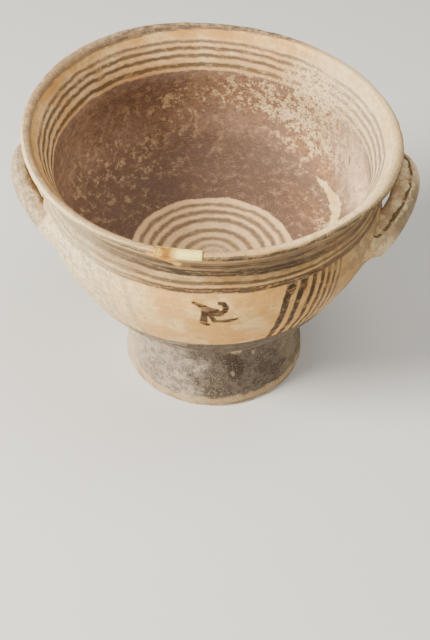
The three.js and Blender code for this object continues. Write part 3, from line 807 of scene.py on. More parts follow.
def weathered(t, cream, field):
    """The slip of the outside wall: chalky at the left, veiled to the right, and duller to the right with painted
    shade, away from the lamp.
    """
    chalk, angle = t.attr("chalk"), t.angle
    col = t.mix(t.mul(chalk, t.add(0.55, t.mul(t.step(t.n_mid, 0.38, 0.58), 0.45))), cream, CHALK_WHITE)
    # grey weathering marks in the chalky part, in short curls
    curls = t.most(t.mul(t.step(t.n_curl, 0.54, 0.60), t.inv(t.step(t.n_curl, 0.62, 0.68))), t.mul(t.step(t.n_mid, 0.54, 0.62), 0.6))
    col = t.mix(t.mul(chalk, curls, 0.80), col, lin(118, 104, 78))
    low_veil = t.mul(t.step(angle, -67.0, -62.0), t.inv(t.step(angle, -44.0, -30.0)), field)
    col = t.mix(t.mul(low_veil, 0.34), col, lin(162, 130, 98))
    # painted shade: the wall drawn duller and darker to the right, in blotches
    dull = t.mul(t.step(angle, -58.0, -34.0), t.inv(t.step(angle, 30.0, 70.0)), t.step(t.s, 6.0, 12.0))
    return t.mix(t.mul(dull, t.add(0.42, t.mul(t.step(t.n_patch, 0.42, 0.62), 0.28))), col, lin(138, 121, 100))


def panel_field(t, sw):
    return t.mul(t.step(sw, 30.6, 31.3), t.inv(t.step(sw, 72.9, 73.6)))


def uprights(t, field):
    """Upright stripes: four groups, two on each side, leaning with the hand that drew them."""
    z, angle = t.z, t.angle
    rise = t.m("MAXIMUM", t.m("SUBTRACT", z, 94.0), 0.0)
    lean = t.m("SUBTRACT", t.mul(rise, 0.235), t.mul(t.m("MAXIMUM", t.m("SUBTRACT", 94.0, z), 0.0), 0.085))
    tremble = t.add(t.off(t.noise(t.q, 0.09, 2.0), 0.8), t.off(t.n_fine, 0.22))
    mirrored = t.mul(t.m("ABSOLUTE", angle), -1.0)  # the back is laid out as the front is
    back = t.step(t.y, -8.0, 8.0)
    right_angle = t.add(t.m("SUBTRACT", mirrored, lean), tremble, t.mul(back, 1.3))
    right = t.bands(right_angle, -72.0, -40.0, [(-67.9, -65.35, 0.98), (-63.25, -61.0, 0.97), (-58.5, -56.6, 0.95),
                                                (-54.9, -53.2, 0.95), (-51.9, -50.3, 0.92), (-49.0, -47.7, 0.86),
                                                (-46.5, -45.4, 0.65)], 0.22)
    wider = t.mul(t.bands(t.m("SUBTRACT", right_angle, t.mul(rise, 0.05)), -72.0, -40.0, [(-67.9, -64.75, 0.95), (-63.3, -60.6, 0.9)], 0.22), t.step(z, 97.0, 100.0))
    right = t.most(right, wider)
    left_angle = t.add(t.m("ADD", mirrored, t.mul(lean, 0.8)), tremble, t.mul(back, 0.8))
    left = t.bands(left_angle, -145.0, -113.0, [(-141.2, -139.9, 0.8), (-137.7, -136.4, 0.8), (-134.7, -133.4, 0.85),
                                                (-131.3, -129.9, 0.85), (-128.0, -126.6, 0.85), (-124.8, -123.2, 0.9),
                                                (-118.4, -116.0, 0.9)], 0.25)
    left = t.mul(left, t.add(0.30, t.mul(back, 0.45)))
    return t.mul(t.most(right, left), field)


def rubbed(t):
    """How much of the outside paint the rubbing has left."""
    rub = t.add(t.mul(t.n_brush, 0.42), t.mul(t.n_mid, 0.38), t.mul(t.n_fine, 0.2))
    loss = t.step(rub, 0.51, 0.66)
    specks = t.step(t.m("ADD", t.n_speck, t.m("MULTIPLY", t.n_mid, 0.35)), 0.86, 0.94)
    return loss, specks


def deepen(t, col, power=1.15, colourful=1.12):
    """Deeper and a little more colourful, which soft studio light takes back."""
    g = t.node("ShaderNodeGamma")
    t.put(g.inputs["Color"], col)
    g.inputs["Gamma"].default_value = power
    h = t.node("ShaderNodeHueSaturation")
    t.put(h.inputs["Color"], g.outputs[0])
    h.inputs["Saturation"].default_value = colourful
    return h.outputs[0]


def finish(t, col, gloss, height, colourful=1.08, strength=0.6):
    t.put(t.shader.inputs["Base Color"], deepen(t, col, 1.15, colourful))
    t.put(t.shader.inputs["Roughness"], t.m("ADD", t.m("SUBTRACT", 0.86, t.mul(gloss, 0.14)), t.off(t.n_fine, 0.14)))
    t.shader.inputs["Specular IOR Level"].default_value = 0.3
    bump = t.node("ShaderNodeBump")
    bump.inputs["Strength"].default_value = strength
    bump.inputs["Distance"].default_value = 0.0004
    t.put(bump.inputs["Height"], height)
    t.put(t.shader.inputs["Normal"], bump.outputs[0])
    return t.mat


LOW_DARK, LOW_PALE = lin(60, 44, 29), lin(92, 70, 48)


def painted_wall(name):
    """The outside wall and the lip: bands, stripes and a small figure in dark paint on cream slip, worn and stained."""
    t = Tree(name)
    cream = slip(t)
    x, y, z, q, angle, s = t.x, t.y, t.z, t.q, t.angle, t.s
    n_wide, n_brush, n_fine, n_mid, n_patch, n_speck = t.n_wide, t.n_brush, t.n_fine, t.n_mid, t.n_patch, t.n_speck
    inside = t.step(t.m("MULTIPLY", s, -1.0), -0.2, 0.2)
    sw = t.add(s, t.off(n_wide, 1.2), t.off(n_mid, 0.55), t.off(n_fine, 0.35))
    field = panel_field(t, sw)
    col = weathered(t, cream, field)

    # ground veil behind the bands, and brown stains
    zone = t.mul(t.step(s, 1.5, 4.0), t.inv(t.step(s, 24.0, 33.0)))
    ground = t.mix(t.step(n_brush, 0.38, 0.64), lin(134, 116, 95), lin(164, 142, 114))
    greyer = t.step(t.m("MULTIPLY", x, -1.0), 12.0, 48.0)
    ground = t.mix(greyer, ground, t.mix(t.step(n_mid, 0.40, 0.62), lin(124, 110, 92), lin(160, 142, 116)))
    col = t.mix(t.m("MULTIPLY", t.attr("veil"), t.mul(zone, t.add(0.90, t.off(n_brush, 0.8), t.off(n_mid, 0.5))), clamp=True), col, ground)
    stain = t.mul(t.attr("stain"), t.step(s, 1.0, 3.5), t.inv(t.step(s, 22.0, 30.0)), t.add(0.30, t.mul(t.step(n_mid, 0.40, 0.60), 0.55)))
    col = t.mix(t.mul(stain, 0.8), col, lin(88, 72, 56))

    # bands under the lip, drawn with a loaded brush on a slow wheel
    thin = t.bands(sw, 0.0, 40.0, [(9.2, 22.1, 0.66)], 0.5)
    lines = t.bands(sw, 0.0, 40.0, [(13.1, 16.1, 0.97), (17.9, 22.1, 0.97), (25.0, 26.9, 0.82), (28.4, 31.1, 0.97)], 0.32)
    gaps = t.bands(sw, 0.0, 40.0, [(14.5, 14.9, 0.30), (16.3, 17.7, 0.34), (20.0, 20.4, 0.4), (29.6, 29.95, 0.45)], 0.2)
    band = t.m("SUBTRACT", t.most(thin, lines), t.mul(gaps, t.step(n_brush, 0.38, 0.60)), clamp=True)
    loss, specks = rubbed(t)
    keep = t.mul(t.m("SUBTRACT", 1.0, t.add(t.mul(loss, 0.50), t.mul(specks, 0.35)), clamp=True), t.attr("keep"))
    top = t.inv(t.step(t.add(t.m("ABSOLUTE", t.add(t.attr("first"), t.off(n_wide, 0.5))), t.off(n_mid, 0.6), t.off(n_fine, 0.4)), 0.75, 1.15))
    top = t.mul(top, t.attr("first_keep"), t.inv(t.mul(loss, 0.3)))
    mask = t.most(t.mul(t.most(band, uprights(t, field)), keep), top)
    dark = t.mix(t.step(n_brush, 0.38, 0.64), DARK, DARK_OLIVE)
    dark = t.mix(t.mul(t.step(n_patch, 0.50, 0.64), 0.5), dark, lin(104, 86, 70))
    low_line = t.mul(t.step(s, 27.3, 28.2), t.inv(t.step(s, 31.4, 32.0)))
    dark = t.mix(low_line, dark, t.mix(t.step(n_mid, 0.40, 0.60), lin(98, 80, 68), lin(76, 60, 46)))
    dark = t.mix(t.step(s, 31.4, 32.4), dark, t.mix(t.step(n_mid, 0.38, 0.62), LOW_DARK, LOW_PALE))
    col = t.mix(mask, col, dark)

    # the small four-armed figure brushed in the middle of the front panel
    front = t.step(t.m("MULTIPLY", y, -1.0), 10.0, 20.0)
    u = t.m("MULTIPLY", t.m("ADD", angle, 90.0), 1.283)
    p = t.xyz(t.add(u, t.off(n_mid, 0.7), t.off(n_fine, 0.3)), t.add(t.m("SUBTRACT", z, 95.0), t.off(n_fine, 0.6)), 0.0)
    figure = None
    for a, b, rad in (((-7.4, 5.6), (-5.0, 4.4), 0.8), ((-5.0, 4.4), (-2.6, 2.8), 1.15), ((-2.8, 3.0), (1.8, 1.4), 1.25), ((-3.0, 3.2), (-3.5, -6.4), 1.5),
                      ((-3.6, -6.6), (-2.0, -7.6), 1.1), ((-2.6, -0.2), (3.4, -0.2), 1.6), ((3.0, 0.3), (5.0, 1.2), 1.2),
                      ((5.0, 1.2), (5.5, 3.4), 1.2), ((5.5, 3.4), (4.6, 5.1), 1.1), ((4.6, 5.1), (3.2, 5.6), 1.0), ((-0.6, -1.4), (0.8, -4.6), 1.2),
                      ((0.8, -5.0), (5.2, -5.2), 1.0), ((5.2, -5.1), (8.0, -4.6), 1.15), ((8.0, -4.6), (9.8, -4.0), 0.7)):
        m = t.stroke(p, a, b, rad, 0.35)
        figure = m if figure is None else t.most(figure, m)
    figure = t.mul(figure, front, t.m("SUBTRACT", 0.97, t.mul(t.step(n_brush, 0.54, 0.68), 0.3)))
    col = t.mix(figure, col, t.mix(t.step(n_mid, 0.44, 0.60), lin(62, 47, 31), lin(100, 78, 62)))

    # over the lip's edge the inner slip begins, and the lip has its own coat: taupe, brushed in short strokes
    col = t.mix(inside, col, bright_side(t, cream, right_side(t)))
    n_streak = t.noise(t.swept(5.0, s), 2.1, 3.0, 0.6)
    shake = t.add(t.off(n_streak, 1.5), t.off(n_mid, 1.1), t.off(n_fine, 0.5))
    on_lip = t.mul(t.step(t.add(t.attr("lip_in"), shake), -0.45, 0.45), t.inv(t.step(t.add(t.attr("lip_out"), shake), -0.45, 0.45)))
    taupe = t.mix(t.step(n_brush, 0.38, 0.64), TAUPE, TAUPE_DARK)
    taupe = t.mix(t.mul(t.step(n_mid, 0.48, 0.66), 0.45), taupe, lin(150, 130, 108))
    taupe = t.mix(t.mul(t.most(t.step(t.m("MULTIPLY", x, -1.0), 30.0, 66.0), t.step(t.m("MULTIPLY", y, -1.0), 20.0, 60.0)), 0.60), taupe, lin(178, 152, 122))
    taupe = t.mix(t.mul(t.step(n_speck, 0.66, 0.73), 0.4), taupe, lin(214, 188, 152))
    coat = t.m("MULTIPLY", t.attr("lip_coat"), t.add(1.08, t.off(n_mid, -1.2), t.off(n_fine, -0.6)), clamp=True)
    col = t.mix(t.mul(on_lip, coat), col, taupe)
    # its arris drawn in light cream, worn back in part and in part a painted highlight most on the left; a painted
    # highlight along the crest at the front right
    arris = t.mul(t.step(s, 0.7, 1.6), t.inv(t.step(s, 3.0, 4.0)), t.attr("lip_edge"))
    col = t.mix(t.m("MULTIPLY", arris, t.add(1.0, t.off(n_mid, -0.8)), clamp=True), col, lin(240, 220, 180))
    col = t.mix(t.m("MULTIPLY", t.attr("crest"), t.add(1.0, t.off(n_mid, -1.6), t.off(n_fine, -0.8)), clamp=True), col, lin(246, 222, 184))
    rim_flecks = t.mul(t.step(s, -2.0, 0.0), t.inv(t.step(s, 5.5, 7.5)), t.step(t.add(n_speck, t.off(n_mid, 0.5)), 0.60, 0.66))
    col = t.mix(t.mul(rim_flecks, 0.5), col, CREAM_LIGHT)
    # ochre run below the fill
    st_p = t.xyz(t.add(u, t.off(n_mid, 2.5)), t.add(s, t.off(n_fine, 1.6)), 0.0)
    run = t.most(t.stroke(st_p, (-21.0, 3.6), (-14.5, 7.5), 2.2, 1.3), t.stroke(st_p, (-18.0, 8.0), (-13.0, 13.5), 2.2, 1.5))
    run = t.mul(run, front, t.step(s, 2.2, 3.2), t.add(1.0, t.off(n_mid, -0.9)))
    col = t.mix(t.m("MULTIPLY", run, 0.95, clamp=True), col, t.mix(t.step(n_mid, 0.42, 0.58), lin(244, 206, 132), lin(206, 146, 80)))
    # painted shade in brown along the crevice beside a handle's end, and brown soil in the low places
    col = t.mix(t.m("MULTIPLY", t.attr("seam_shade"), t.add(0.8, t.off(n_mid, 0.6)), clamp=True), col, lin(120, 84, 54))
    col = t.mix(t.mul(t.step(n_fine, 0.60, 0.70), 0.20), col, lin(92, 70, 48))
    gloss = t.mul(mask, t.inv(inside))
    return finish(t, col, gloss, t.add(t.mul(n_fine, 0.5), t.mul(n_brush, 0.28), t.mul(gloss, -0.15), t.mul(n_speck, 0.25)))


def painted_collar(name):
    """The lowest part of the wall: the stripes' ends, the line that closes the panel, and the foot's wash below it."""
    t = Tree(name)
    cream = slip(t)
    s = t.s
    sw = t.add(s, t.off(t.n_wide, 1.2), t.off(t.n_mid, 0.55), t.off(t.n_fine, 0.35))
    field = panel_field(t, sw)
    col = weathered(t, cream, field)
    loss, specks = rubbed(t)
    keep = t.mul(t.m("SUBTRACT", 1.0, t.add(t.mul(loss, 0.50), t.mul(specks, 0.35)), clamp=True), t.attr("keep"))
    col = t.mix(t.mul(uprights(t, field), keep), col, t.mix(t.step(t.n_mid, 0.38, 0.62), LOW_DARK, LOW_PALE))
    sb = t.add(s, t.off(t.n_wide, 0.9), t.off(t.n_fine, 0.5))
    wash = washed(t, t.noise(t.q, 0.24, 4.0, 0.6), t.noise(t.q, 0.11, 3.0, 0.6), t.noise(t.q, 2.4, 2.0, 0.5))
    col = t.mix(t.step(sb, 74.2, 74.8), col, wash)
    hem = t.mul(t.bands(sb, 60.0, 80.0, [(73.1, 74.6, 0.92)], 0.25), t.add(0.9, t.mul(t.step(t.n_mid, 0.5, 0.7), -0.2)))
    col = t.mix(hem, col, t.mix(t.n_mid, lin(70, 52, 32), lin(104, 80, 54)))
    col = t.mix(t.mul(t.step(t.n_fine, 0.60, 0.70), 0.20), col, lin(92, 70, 48))
    return finish(t, col, hem, t.add(t.mul(t.n_fine, 0.5), t.mul(t.n_brush, 0.28), t.mul(t.n_speck, 0.25)))


def painted_inside(name):
    """Inside: lines below the lip, solid red-brown paint on the wall, rings on the floor, scoured and limed; painted
    shade low on the wall and, in part, painted light on the right.
    """
    t = Tree(name)
    cream = slip(t)
    x, y, z, q, s = t.x, t.y, t.z, t.q, t.s
    n_wide, n_brush, n_fine, n_mid, n_patch, n_speck, n_curl = t.n_wide, t.n_brush, t.n_fine, t.n_mid, t.n_patch, t.n_speck, t.n_curl
    n_flake = t.noise(t.swept(30.0, t.mul(s, 1.15)), 1.0, 3.0, 0.6, 0.8)
    wear = t.attr("wear")
    ti = t.m("MULTIPLY", t.add(s, t.off(n_wide, 1.2), t.off(n_mid, 0.9), t.off(n_fine, 0.5)), -1.0)
    in_lines = t.bands(ti, 0.0, 30.0, [(7.7, 9.2, 0.85), (10.7, 12.4, 0.95), (14.1, 15.9, 0.96), (18.2, 20.4, 0.95)], 0.40)
    solid = t.step(ti, 21.7, 22.5)
    fx, fy = t.m("ADD", x, 0.6), t.m("ADD", y, 1.1)
    ring_r = t.m("SQRT", t.m("ADD", t.m("MULTIPLY", fx, fx), t.m("MULTIPLY", fy, fy)))
    ring_r = t.add(ring_r, t.off(t.noise(q, 0.09, 2.0), 1.4), t.off(n_mid, 0.8), t.off(n_fine, 0.5))
    tondo = t.mul(t.m("SUBTRACT", 1.0, t.step(z, 66.5, 68.5)), t.inv(t.step(ring_r, 36.8, 37.9)))
    rings = t.bands(ring_r, 0.0, 40.0, [(0.0, 2.6, 0.55), (6.6, 8.9, 0.66), (11.5, 14.0, 0.85), (17.1, 19.8, 0.94),
                                        (23.3, 25.9, 0.96), (28.0, 30.4, 0.96), (32.5, 34.6, 0.94)], 0.55)
    paint = t.most(in_lines, t.mul(solid, t.inv(tondo)), t.mul(rings, tondo))
    loss = t.step(t.add(t.mul(n_mid, 0.55), t.mul(n_brush, 0.45)), 0.55, 0.70)
    specks = t.step(t.m("ADD", n_speck, t.m("MULTIPLY", n_mid, 0.35)), 0.86, 0.94)
    on_lines = t.inv(t.step(ti, 21.0, 21.5))
    keep = t.m("SUBTRACT", 1.0, t.add(t.mul(loss, t.add(0.16, t.mul(on_lines, 0.24))), t.mul(specks, 0.14)), clamp=True)
    mask = t.mul(paint, keep, t.inv(t.mul(wear, on_lines, 0.70)))

    red = t.mix(t.step(t.noise(q, 0.055, 4.0, 0.55), 0.40, 0.62), lin(146, 120, 106), lin(152, 122, 102))
    red = t.mix(t.mul(t.step(n_patch, 0.46, 0.66), 0.50), red, lin(118, 96, 82))
    red = t.mix(t.mul(t.step(n_mid, 0.50, 0.68), 0.42), red, lin(174, 147, 127))
    red = t.mix(t.mul(t.attr("earth"), 0.7), red, lin(108, 84, 66))
    red = t.mix(t.mul(t.step(n_flake, 0.55, 0.64), 0.15), red, lin(178, 152, 132))
    red = t.mix(t.mul(t.inv(t.step(n_flake, 0.34, 0.42)), 0.30), red, lin(100, 81, 70))
    # painted shade: the red paint drawn darker low on the wall, near the floor
    red = t.mix(t.mul(t.inv(t.step(z, 70.0, 86.0)), 0.72), red, lin(106, 84, 72))
    scratch = t.mul(t.step(t.noise(t.swept(26.0, t.mul(s, 2.2)), 1.0, 2.0, 0.5), 0.72, 0.77), t.step(n_patch, 0.44, 0.56))
    red = t.mix(t.mul(scratch, 0.34), red, lin(206, 180, 156))
    red = t.mix(t.mul(t.step(n_speck, 0.78, 0.84), 0.38), red, lin(208, 182, 158))
    red = t.mix(t.mul(t.step(n_fine, 0.62, 0.72), 0.30), red, lin(98, 78, 66))
    red = t.mix(t.mul(t.attr("rust"), t.add(0.35, t.mul(t.step(t.add(t.mul(n_mid, 0.6), t.mul(n_brush, 0.4)), 0.42, 0.58), 0.55))), red,
                t.mix(t.step(n_fine, 0.42, 0.60), lin(190, 132, 78), lin(150, 98, 58)))
    # pale patches: scoured slip in part, and in part painted light on the right wall
    red = t.mix(t.m("MULTIPLY", t.attr("pale"), t.add(0.80, t.off(n_mid, 1.1), t.off(n_flake, 0.7)), clamp=True), red, t.mix(t.step(n_fine, 0.45, 0.6), lin(244, 208, 172), lin(252, 228, 194)))
    on_right = right_side(t)
    line_col = t.mix(n_brush, lin(98, 79, 58), lin(134, 111, 84))
    line_col = t.mix(t.mul(on_right, 0.70), line_col, lin(170, 150, 122))
    paint_col = t.mix(on_lines, red, line_col)
    paint_col = t.mix(tondo, paint_col, t.mix(n_brush, lin(126, 104, 82), lin(160, 134, 106)))
    bare = t.mix(t.mul(tondo, 0.60), cream, lin(250, 218, 172))
    bare = bright_side(t, bare, t.mul(on_right, t.inv(tondo)))
    col = t.mix(mask, bare, paint_col)
    # lime crust: sharp-edged flakes and curls over an ochre ground
    col = t.mix(t.mul(t.m("MULTIPLY", wear, 1.3, clamp=True), t.inv(on_lines), 0.42), col, t.mix(t.step(n_mid, 0.42, 0.60), lin(178, 142, 106), lin(204, 170, 130)))
    scale = t.add(t.mul(n_curl, 0.26), t.mul(n_flake, 0.10), t.mul(n_mid, 0.40), t.mul(n_patch, 0.24))
    crust = t.mul(t.step(t.add(scale, t.mul(wear, 0.30)), 0.60, 0.66), t.m("MULTIPLY", wear, 3.0, clamp=True))
    crust_col = t.mix(t.step(n_mid, 0.40, 0.60), lin(236, 206, 156), lin(220, 182, 130))
    crust_col = t.mix(t.step(n_fine, 0.46, 0.60), crust_col, lin(246, 228, 186))
    col = t.mix(t.mul(crust, 0.92), col, crust_col)
    pits = t.mul(t.inv(t.step(t.add(t.mul(n_curl, 0.5), t.mul(n_fine, 0.5)), 0.38, 0.44)), t.m("MULTIPLY", wear, 2.4, clamp=True))
    col = t.mix(t.mul(pits, 0.62), col, lin(112, 84, 56))
    lime = t.step(t.add(t.attr("lime"), t.off(n_mid, 0.8), t.off(n_fine, 0.5)), 0.42, 0.58)
    col = t.mix(t.mul(lime, 0.85), col, t.mix(t.step(n_mid, 0.42, 0.58), lin(236, 204, 140), lin(244, 222, 170)))
    # dirt and lime lying in the middle of the floor
    mid_r = t.v("LENGTH", t.v("SUBTRACT", t.xyz(x, y, 0.0), (0.5, -5.0, 0.0)))
    silt = t.mul(t.inv(t.step(t.add(mid_r, t.off(n_mid, 14.0)), 6.0, 12.0)), tondo)
    col = t.mix(t.mul(silt, 0.55), col, lin(156, 130, 110))
    grit = t.mul(t.inv(t.step(t.add(mid_r, t.off(n_mid, 16.0)), 9.0, 15.0)), tondo, t.step(n_fine, 0.54, 0.60))
    col = t.mix(t.mul(grit, 0.8), col, lin(240, 224, 196))
    col = t.mix(t.mul(t.step(n_fine, 0.60, 0.70), 0.20), col, lin(92, 70, 48))
    gloss = t.mul(paint, keep)
    flaky = t.mul(n_flake, 0.3, t.step(ti, 6.0, 9.0))
    return finish(t, col, gloss, t.add(t.mul(n_fine, 0.5), t.mul(n_brush, 0.28), t.mul(gloss, -0.15), t.mul(n_speck, 0.25), t.mul(crust, 0.6), flaky), 0.96)


def foot_clay(name):
    """The foot: a thin grey-brown wash over cream slip, blotched and flecked, rubbed through near the ground."""
    t = Tree(name)
    t.places()
    x, y, z, q, angle = t.x, t.y, t.z, t.q, t.angle
    r = t.v("LENGTH", t.xyz(x, y, 0.0))
    n_fine = t.noise(q, 1.2, 3.0, 0.6)
    n_mid = t.noise(q, 0.24, 4.0, 0.6)
    n_patch = t.noise(q, 0.11, 3.0, 0.6)
    n_big = t.noise(q, 0.06, 4.0, 0.55)
    n_speck = t.noise(q, 2.4, 2.0, 0.5)
    wheel = t.noise(t.swept(4.0, z), 0.8, 3.0, 0.6)
    col = washed(t, n_mid, n_patch, n_speck)
    cream = t.mix(t.step(n_mid, 0.42, 0.62), lin(216, 188, 144), lin(180, 152, 116))
    # the slip rubbed bare near the ground, a dark line under it, and the grey ground edge
    level = t.add(z, t.off(n_patch, 3.4), t.off(n_mid, 2.4))
    base = t.mul(t.inv(t.step(level, 4.6, 6.2)), t.add(0.55, t.mul(t.step(n_mid, 0.40, 0.58), 0.40)))
    col = t.mix(base, col, cream)
    groove = t.mul(t.bands(t.add(z, t.off(n_mid, 0.7)), 0.0, 10.0, [(1.2, 2.0, 0.75)], 0.3), t.step(n_big, 0.34, 0.52))
    col = t.mix(groove, col, lin(128, 90, 52))
    # the ground edge drawn lighter grey all round: worn in part, and in part a painted highlight along the edge
    edge = t.inv(t.step(t.add(z, t.off(n_mid, 0.5)), 0.7, 1.1))
    col = t.mix(t.mul(edge, 0.9), col, t.mix(n_mid, lin(196, 178, 154), lin(226, 208, 182)))
    # inside the hollow the clay is bare
    bare = t.mix(t.step(n_mid, 0.4, 0.65), lin(190, 148, 108), lin(162, 124, 90))
    bare = t.mix(t.mul(t.step(n_big, 0.45, 0.65), 0.6), bare, lin(132, 110, 88))
    bare = t.mix(t.mul(t.step(n_speck, 0.64, 0.72), 0.4), bare, lin(214, 190, 158))
    hollow = t.most(t.inv(t.step(r, 39.0, 40.4)), t.step(z, 40.0, 42.0))
    col = t.mix(hollow, col, bare)
    col = t.mix(t.mul(t.step(n_fine, 0.60, 0.70), 0.22), col, lin(82, 66, 50))
    t.put(t.shader.inputs["Base Color"], deepen(t, col, 1.12, 0.98))
    t.put(t.shader.inputs["Roughness"], t.m("ADD", 0.80, t.off(n_fine, 0.16)))
    t.shader.inputs["Specular IOR Level"].default_value = 0.3
    bump = t.node("ShaderNodeBump")
    bump.inputs["Strength"].default_value = 0.6
    bump.inputs["Distance"].default_value = 0.0004
    t.put(bump.inputs["Height"], t.add(t.mul(n_fine, 0.5), t.mul(wheel, 0.4), t.mul(n_speck, 0.25), t.mul(n_mid, 0.3)))
    t.put(t.shader.inputs["Normal"], bump.outputs[0])
    return t.mat


def handle_clay(name, west):
    """A handle: cream slip with a dark line brushed along the middle of its top, and brown painted shade on the side
    towards the wall.
    """
    t = Tree(name)
    t.places()
    q = t.q
    outer, above, along = t.attr("outer"), t.attr("above"), t.attr("along")
    n_fine = t.noise(q, 1.3, 3.0, 0.6)
    n_mid = t.noise(q, 0.3, 4.0, 0.6)
    n_patch = t.noise(q, 0.14, 3.0, 0.6)
    n_big = t.noise(q, 0.07, 3.0, 0.55)
    n_speck = t.noise(q, 2.5, 2.0, 0.5)
    n_curl = t.noise(q, 0.5, 3.0, 0.6, 1.4)
    if west:
        cream = t.mix(t.step(n_mid, 0.40, 0.60), lin(186, 168, 136), lin(206, 190, 160))
        cream = t.mix(t.mul(t.step(n_curl, 0.52, 0.60), 0.55), cream, lin(134, 118, 92))
        cream = t.mix(t.mul(t.step(n_patch, 0.50, 0.64), 0.40), cream, lin(172, 148, 118))
        reach = (-0.62, -0.20)
    else:
        cream = t.mix(t.step(n_mid, 0.42, 0.60), lin(222, 200, 160), lin(204, 178, 136))
        cream = t.mix(t.mul(t.step(n_patch, 0.50, 0.62), 0.6), cream, lin(158, 132, 100))
        cream = t.mix(t.mul(t.step(n_fine, 0.56, 0.68), 0.3), cream, lin(238, 214, 170))
        # painted highlight on the outward side, painted shade in grey and olive on its lower front part, and its back
        # end brown
        cream = t.mix(t.mul(t.step(outer, 0.50, 0.75), t.step(along, -0.35, 0.0), t.step(n_mid, 0.36, 0.52), 0.7), cream, lin(236, 216, 178))
        grey = t.mul(t.step(t.add(outer, t.off(n_mid, 0.6)), 0.42, 0.66), t.inv(t.step(along, -0.35, 0.0)), t.step(along, -0.86, -0.70))
        cream = t.mix(t.mul(grey, 0.8), cream, t.mix(t.step(n_mid, 0.42, 0.6), lin(118, 104, 88), lin(140, 126, 96)))
        rear = t.mul(t.step(t.add(along, t.off(n_mid, 0.25)), 0.42, 0.52), t.inv(t.step(outer, 0.5, 0.8)))
        cream = t.mix(t.mul(rear, 0.6), cream, t.mix(t.step(n_mid, 0.4, 0.6), lin(142, 118, 92), lin(168, 144, 116)))
        cross = t.mul(t.inv(t.step(t.m("ABSOLUTE", t.add(along, -0.38, t.off(n_mid, 0.10))), 0.05, 0.10)), t.inv(t.step(outer, 0.0, 0.3)))
        cream = t.mix(t.mul(cross, 0.6), cream, lin(136, 102, 68))
        # painted shade on the underside
        cream = t.mix(t.mul(t.inv(t.step(above, -0.6, 0.1)), 0.5), cream, lin(122, 104, 78))
        reach = (-1.00, -0.78)
    # painted shade in brown on the side that faces the wall
    inner = t.inv(t.step(t.add(outer, t.off(n_mid, 0.7), t.off(n_patch, 0.5)), *reach))
    col = t.mix(t.mul(inner, 0.85), cream, t.mix(t.step(n_mid, 0.42, 0.6), lin(130, 100, 74), lin(104, 80, 58)))
    # the brushed line, uneven in width, broken in places
    place = t.m("ABSOLUTE", t.add(outer, -0.24, t.off(n_patch, 0.26), t.off(n_mid, 0.05)))
    width = t.add(0.10, t.off(n_patch, 0.12), t.off(n_mid, 0.06))
    line = t.mul(t.inv(t.step(t.m("SUBTRACT", place, width), -0.04, 0.07)), t.step(above, 0.0, 0.3))
    keep = t.m("SUBTRACT", 1.0, t.mul(t.step(n_mid, 0.52, 0.64), 0.7))
    col = t.mix(t.mul(line, keep, 0.25 if west else 0.92), col, t.mix(n_fine, lin(70, 54, 32), lin(104, 84, 50)))
    col = t.mix(t.mul(t.step(n_speck, 0.62, 0.70), 0.32), col, lin(124, 96, 66))
    col = t.mix(t.mul(t.step(n_fine, 0.60, 0.70), 0.22), col, lin(96, 72, 50))
    t.put(t.shader.inputs["Base Color"], deepen(t, col, 1.12, 0.98))
    t.put(t.shader.inputs["Roughness"], t.m("ADD", 0.82, t.off(n_fine, 0.14)))
    t.shader.inputs["Specular IOR Level"].default_value = 0.3
    bump = t.node("ShaderNodeBump")
    bump.inputs["Strength"].default_value = 0.6
    bump.inputs["Distance"].default_value = 0.0004
    t.put(bump.inputs["Height"], t.add(t.mul(n_fine, 0.6), t.mul(n_speck, 0.35), t.mul(n_mid, 0.3)))
    t.put(t.shader.inputs["Normal"], bump.outputs[0])
    return t.mat


def fill_plaster(name):
    """The repair: bright scraped plaster, with its left end soaked ochre and orange-brown."""
    t = Tree(name)
    t.places()
    q = t.q
    part = t.attr("part")
    n_fine = t.noise(q, 1.5, 3.0, 0.6)
    n_mid = t.noise(q, 0.4, 3.0, 0.6)
    r = t.v("LENGTH", t.xyz(t.x, t.y, 0.0))
    col = t.mix(t.step(n_mid, 0.4, 0.65), lin(255, 244, 168), lin(255, 230, 136))
    col = t.mix(t.mul(t.step(n_fine, 0.56, 0.7), 0.3), col, lin(214, 180, 116))
    soaked = t.inv(t.step(t.add(part, t.off(n_mid, 2.6)), -1.8, 0.4))
    ochre = t.mix(t.step(n_mid, 0.42, 0.60), lin(206, 170, 106), lin(168, 130, 80))
    outwards = t.step(t.add(r, t.off(n_mid, 1.6)), 75.4, 76.6)
    col = t.mix(t.mul(soaked, t.add(0.20, t.mul(outwards, 0.72))), col, ochre)
    core = t.mul(t.inv(t.step(t.m("ABSOLUTE", t.add(part, 3.5, t.off(n_mid, 1.4))), 0.6, 2.0)), t.step(t.add(r, t.off(n_mid, 1.0)), 76.6, 77.6))
    col = t.mix(t.mul(core, 0.75), col, lin(140, 92, 52))
    t.put(t.shader.inputs["Base Color"], deepen(t, col, 1.08, 1.1))
    t.put(t.shader.inputs["Roughness"], t.m("ADD", 0.84, t.off(n_fine, 0.12)))
    t.shader.inputs["Specular IOR Level"].default_value = 0.25
    bump = t.node("ShaderNodeBump")
    bump.inputs["Strength"].default_value = 0.5
    bump.inputs["Distance"].default_value = 0.0003
    t.put(bump.inputs["Height"], n_fine)
    t.put(t.shader.inputs["Normal"], bump.outputs[0])
    return t.mat


def plain(name, colour, rough):
    t = Tree(name)
    geo = t.node("ShaderNodeNewGeometry")
    n = t.noise(geo.outputs["Position"], 9.0, 3.0)
    t.put(t.shader.inputs["Base Color"], t.mix(t.m("MULTIPLY", n, 0.25), colour, tuple(c * 0.94 for c in colour[:3]) + (1,)))
    t.shader.inputs["Roughness"].default_value = rough
    return t.mat


# ------------------------------------------------------------------ the pieces
wall_mat = painted_wall("painted_wall")
inside_mat = painted_inside("painted_inside")
collar_mat = painted_collar("painted_collar")
foot_mat = foot_clay("foot_wash")
fill_mat = fill_plaster("pale_fill")

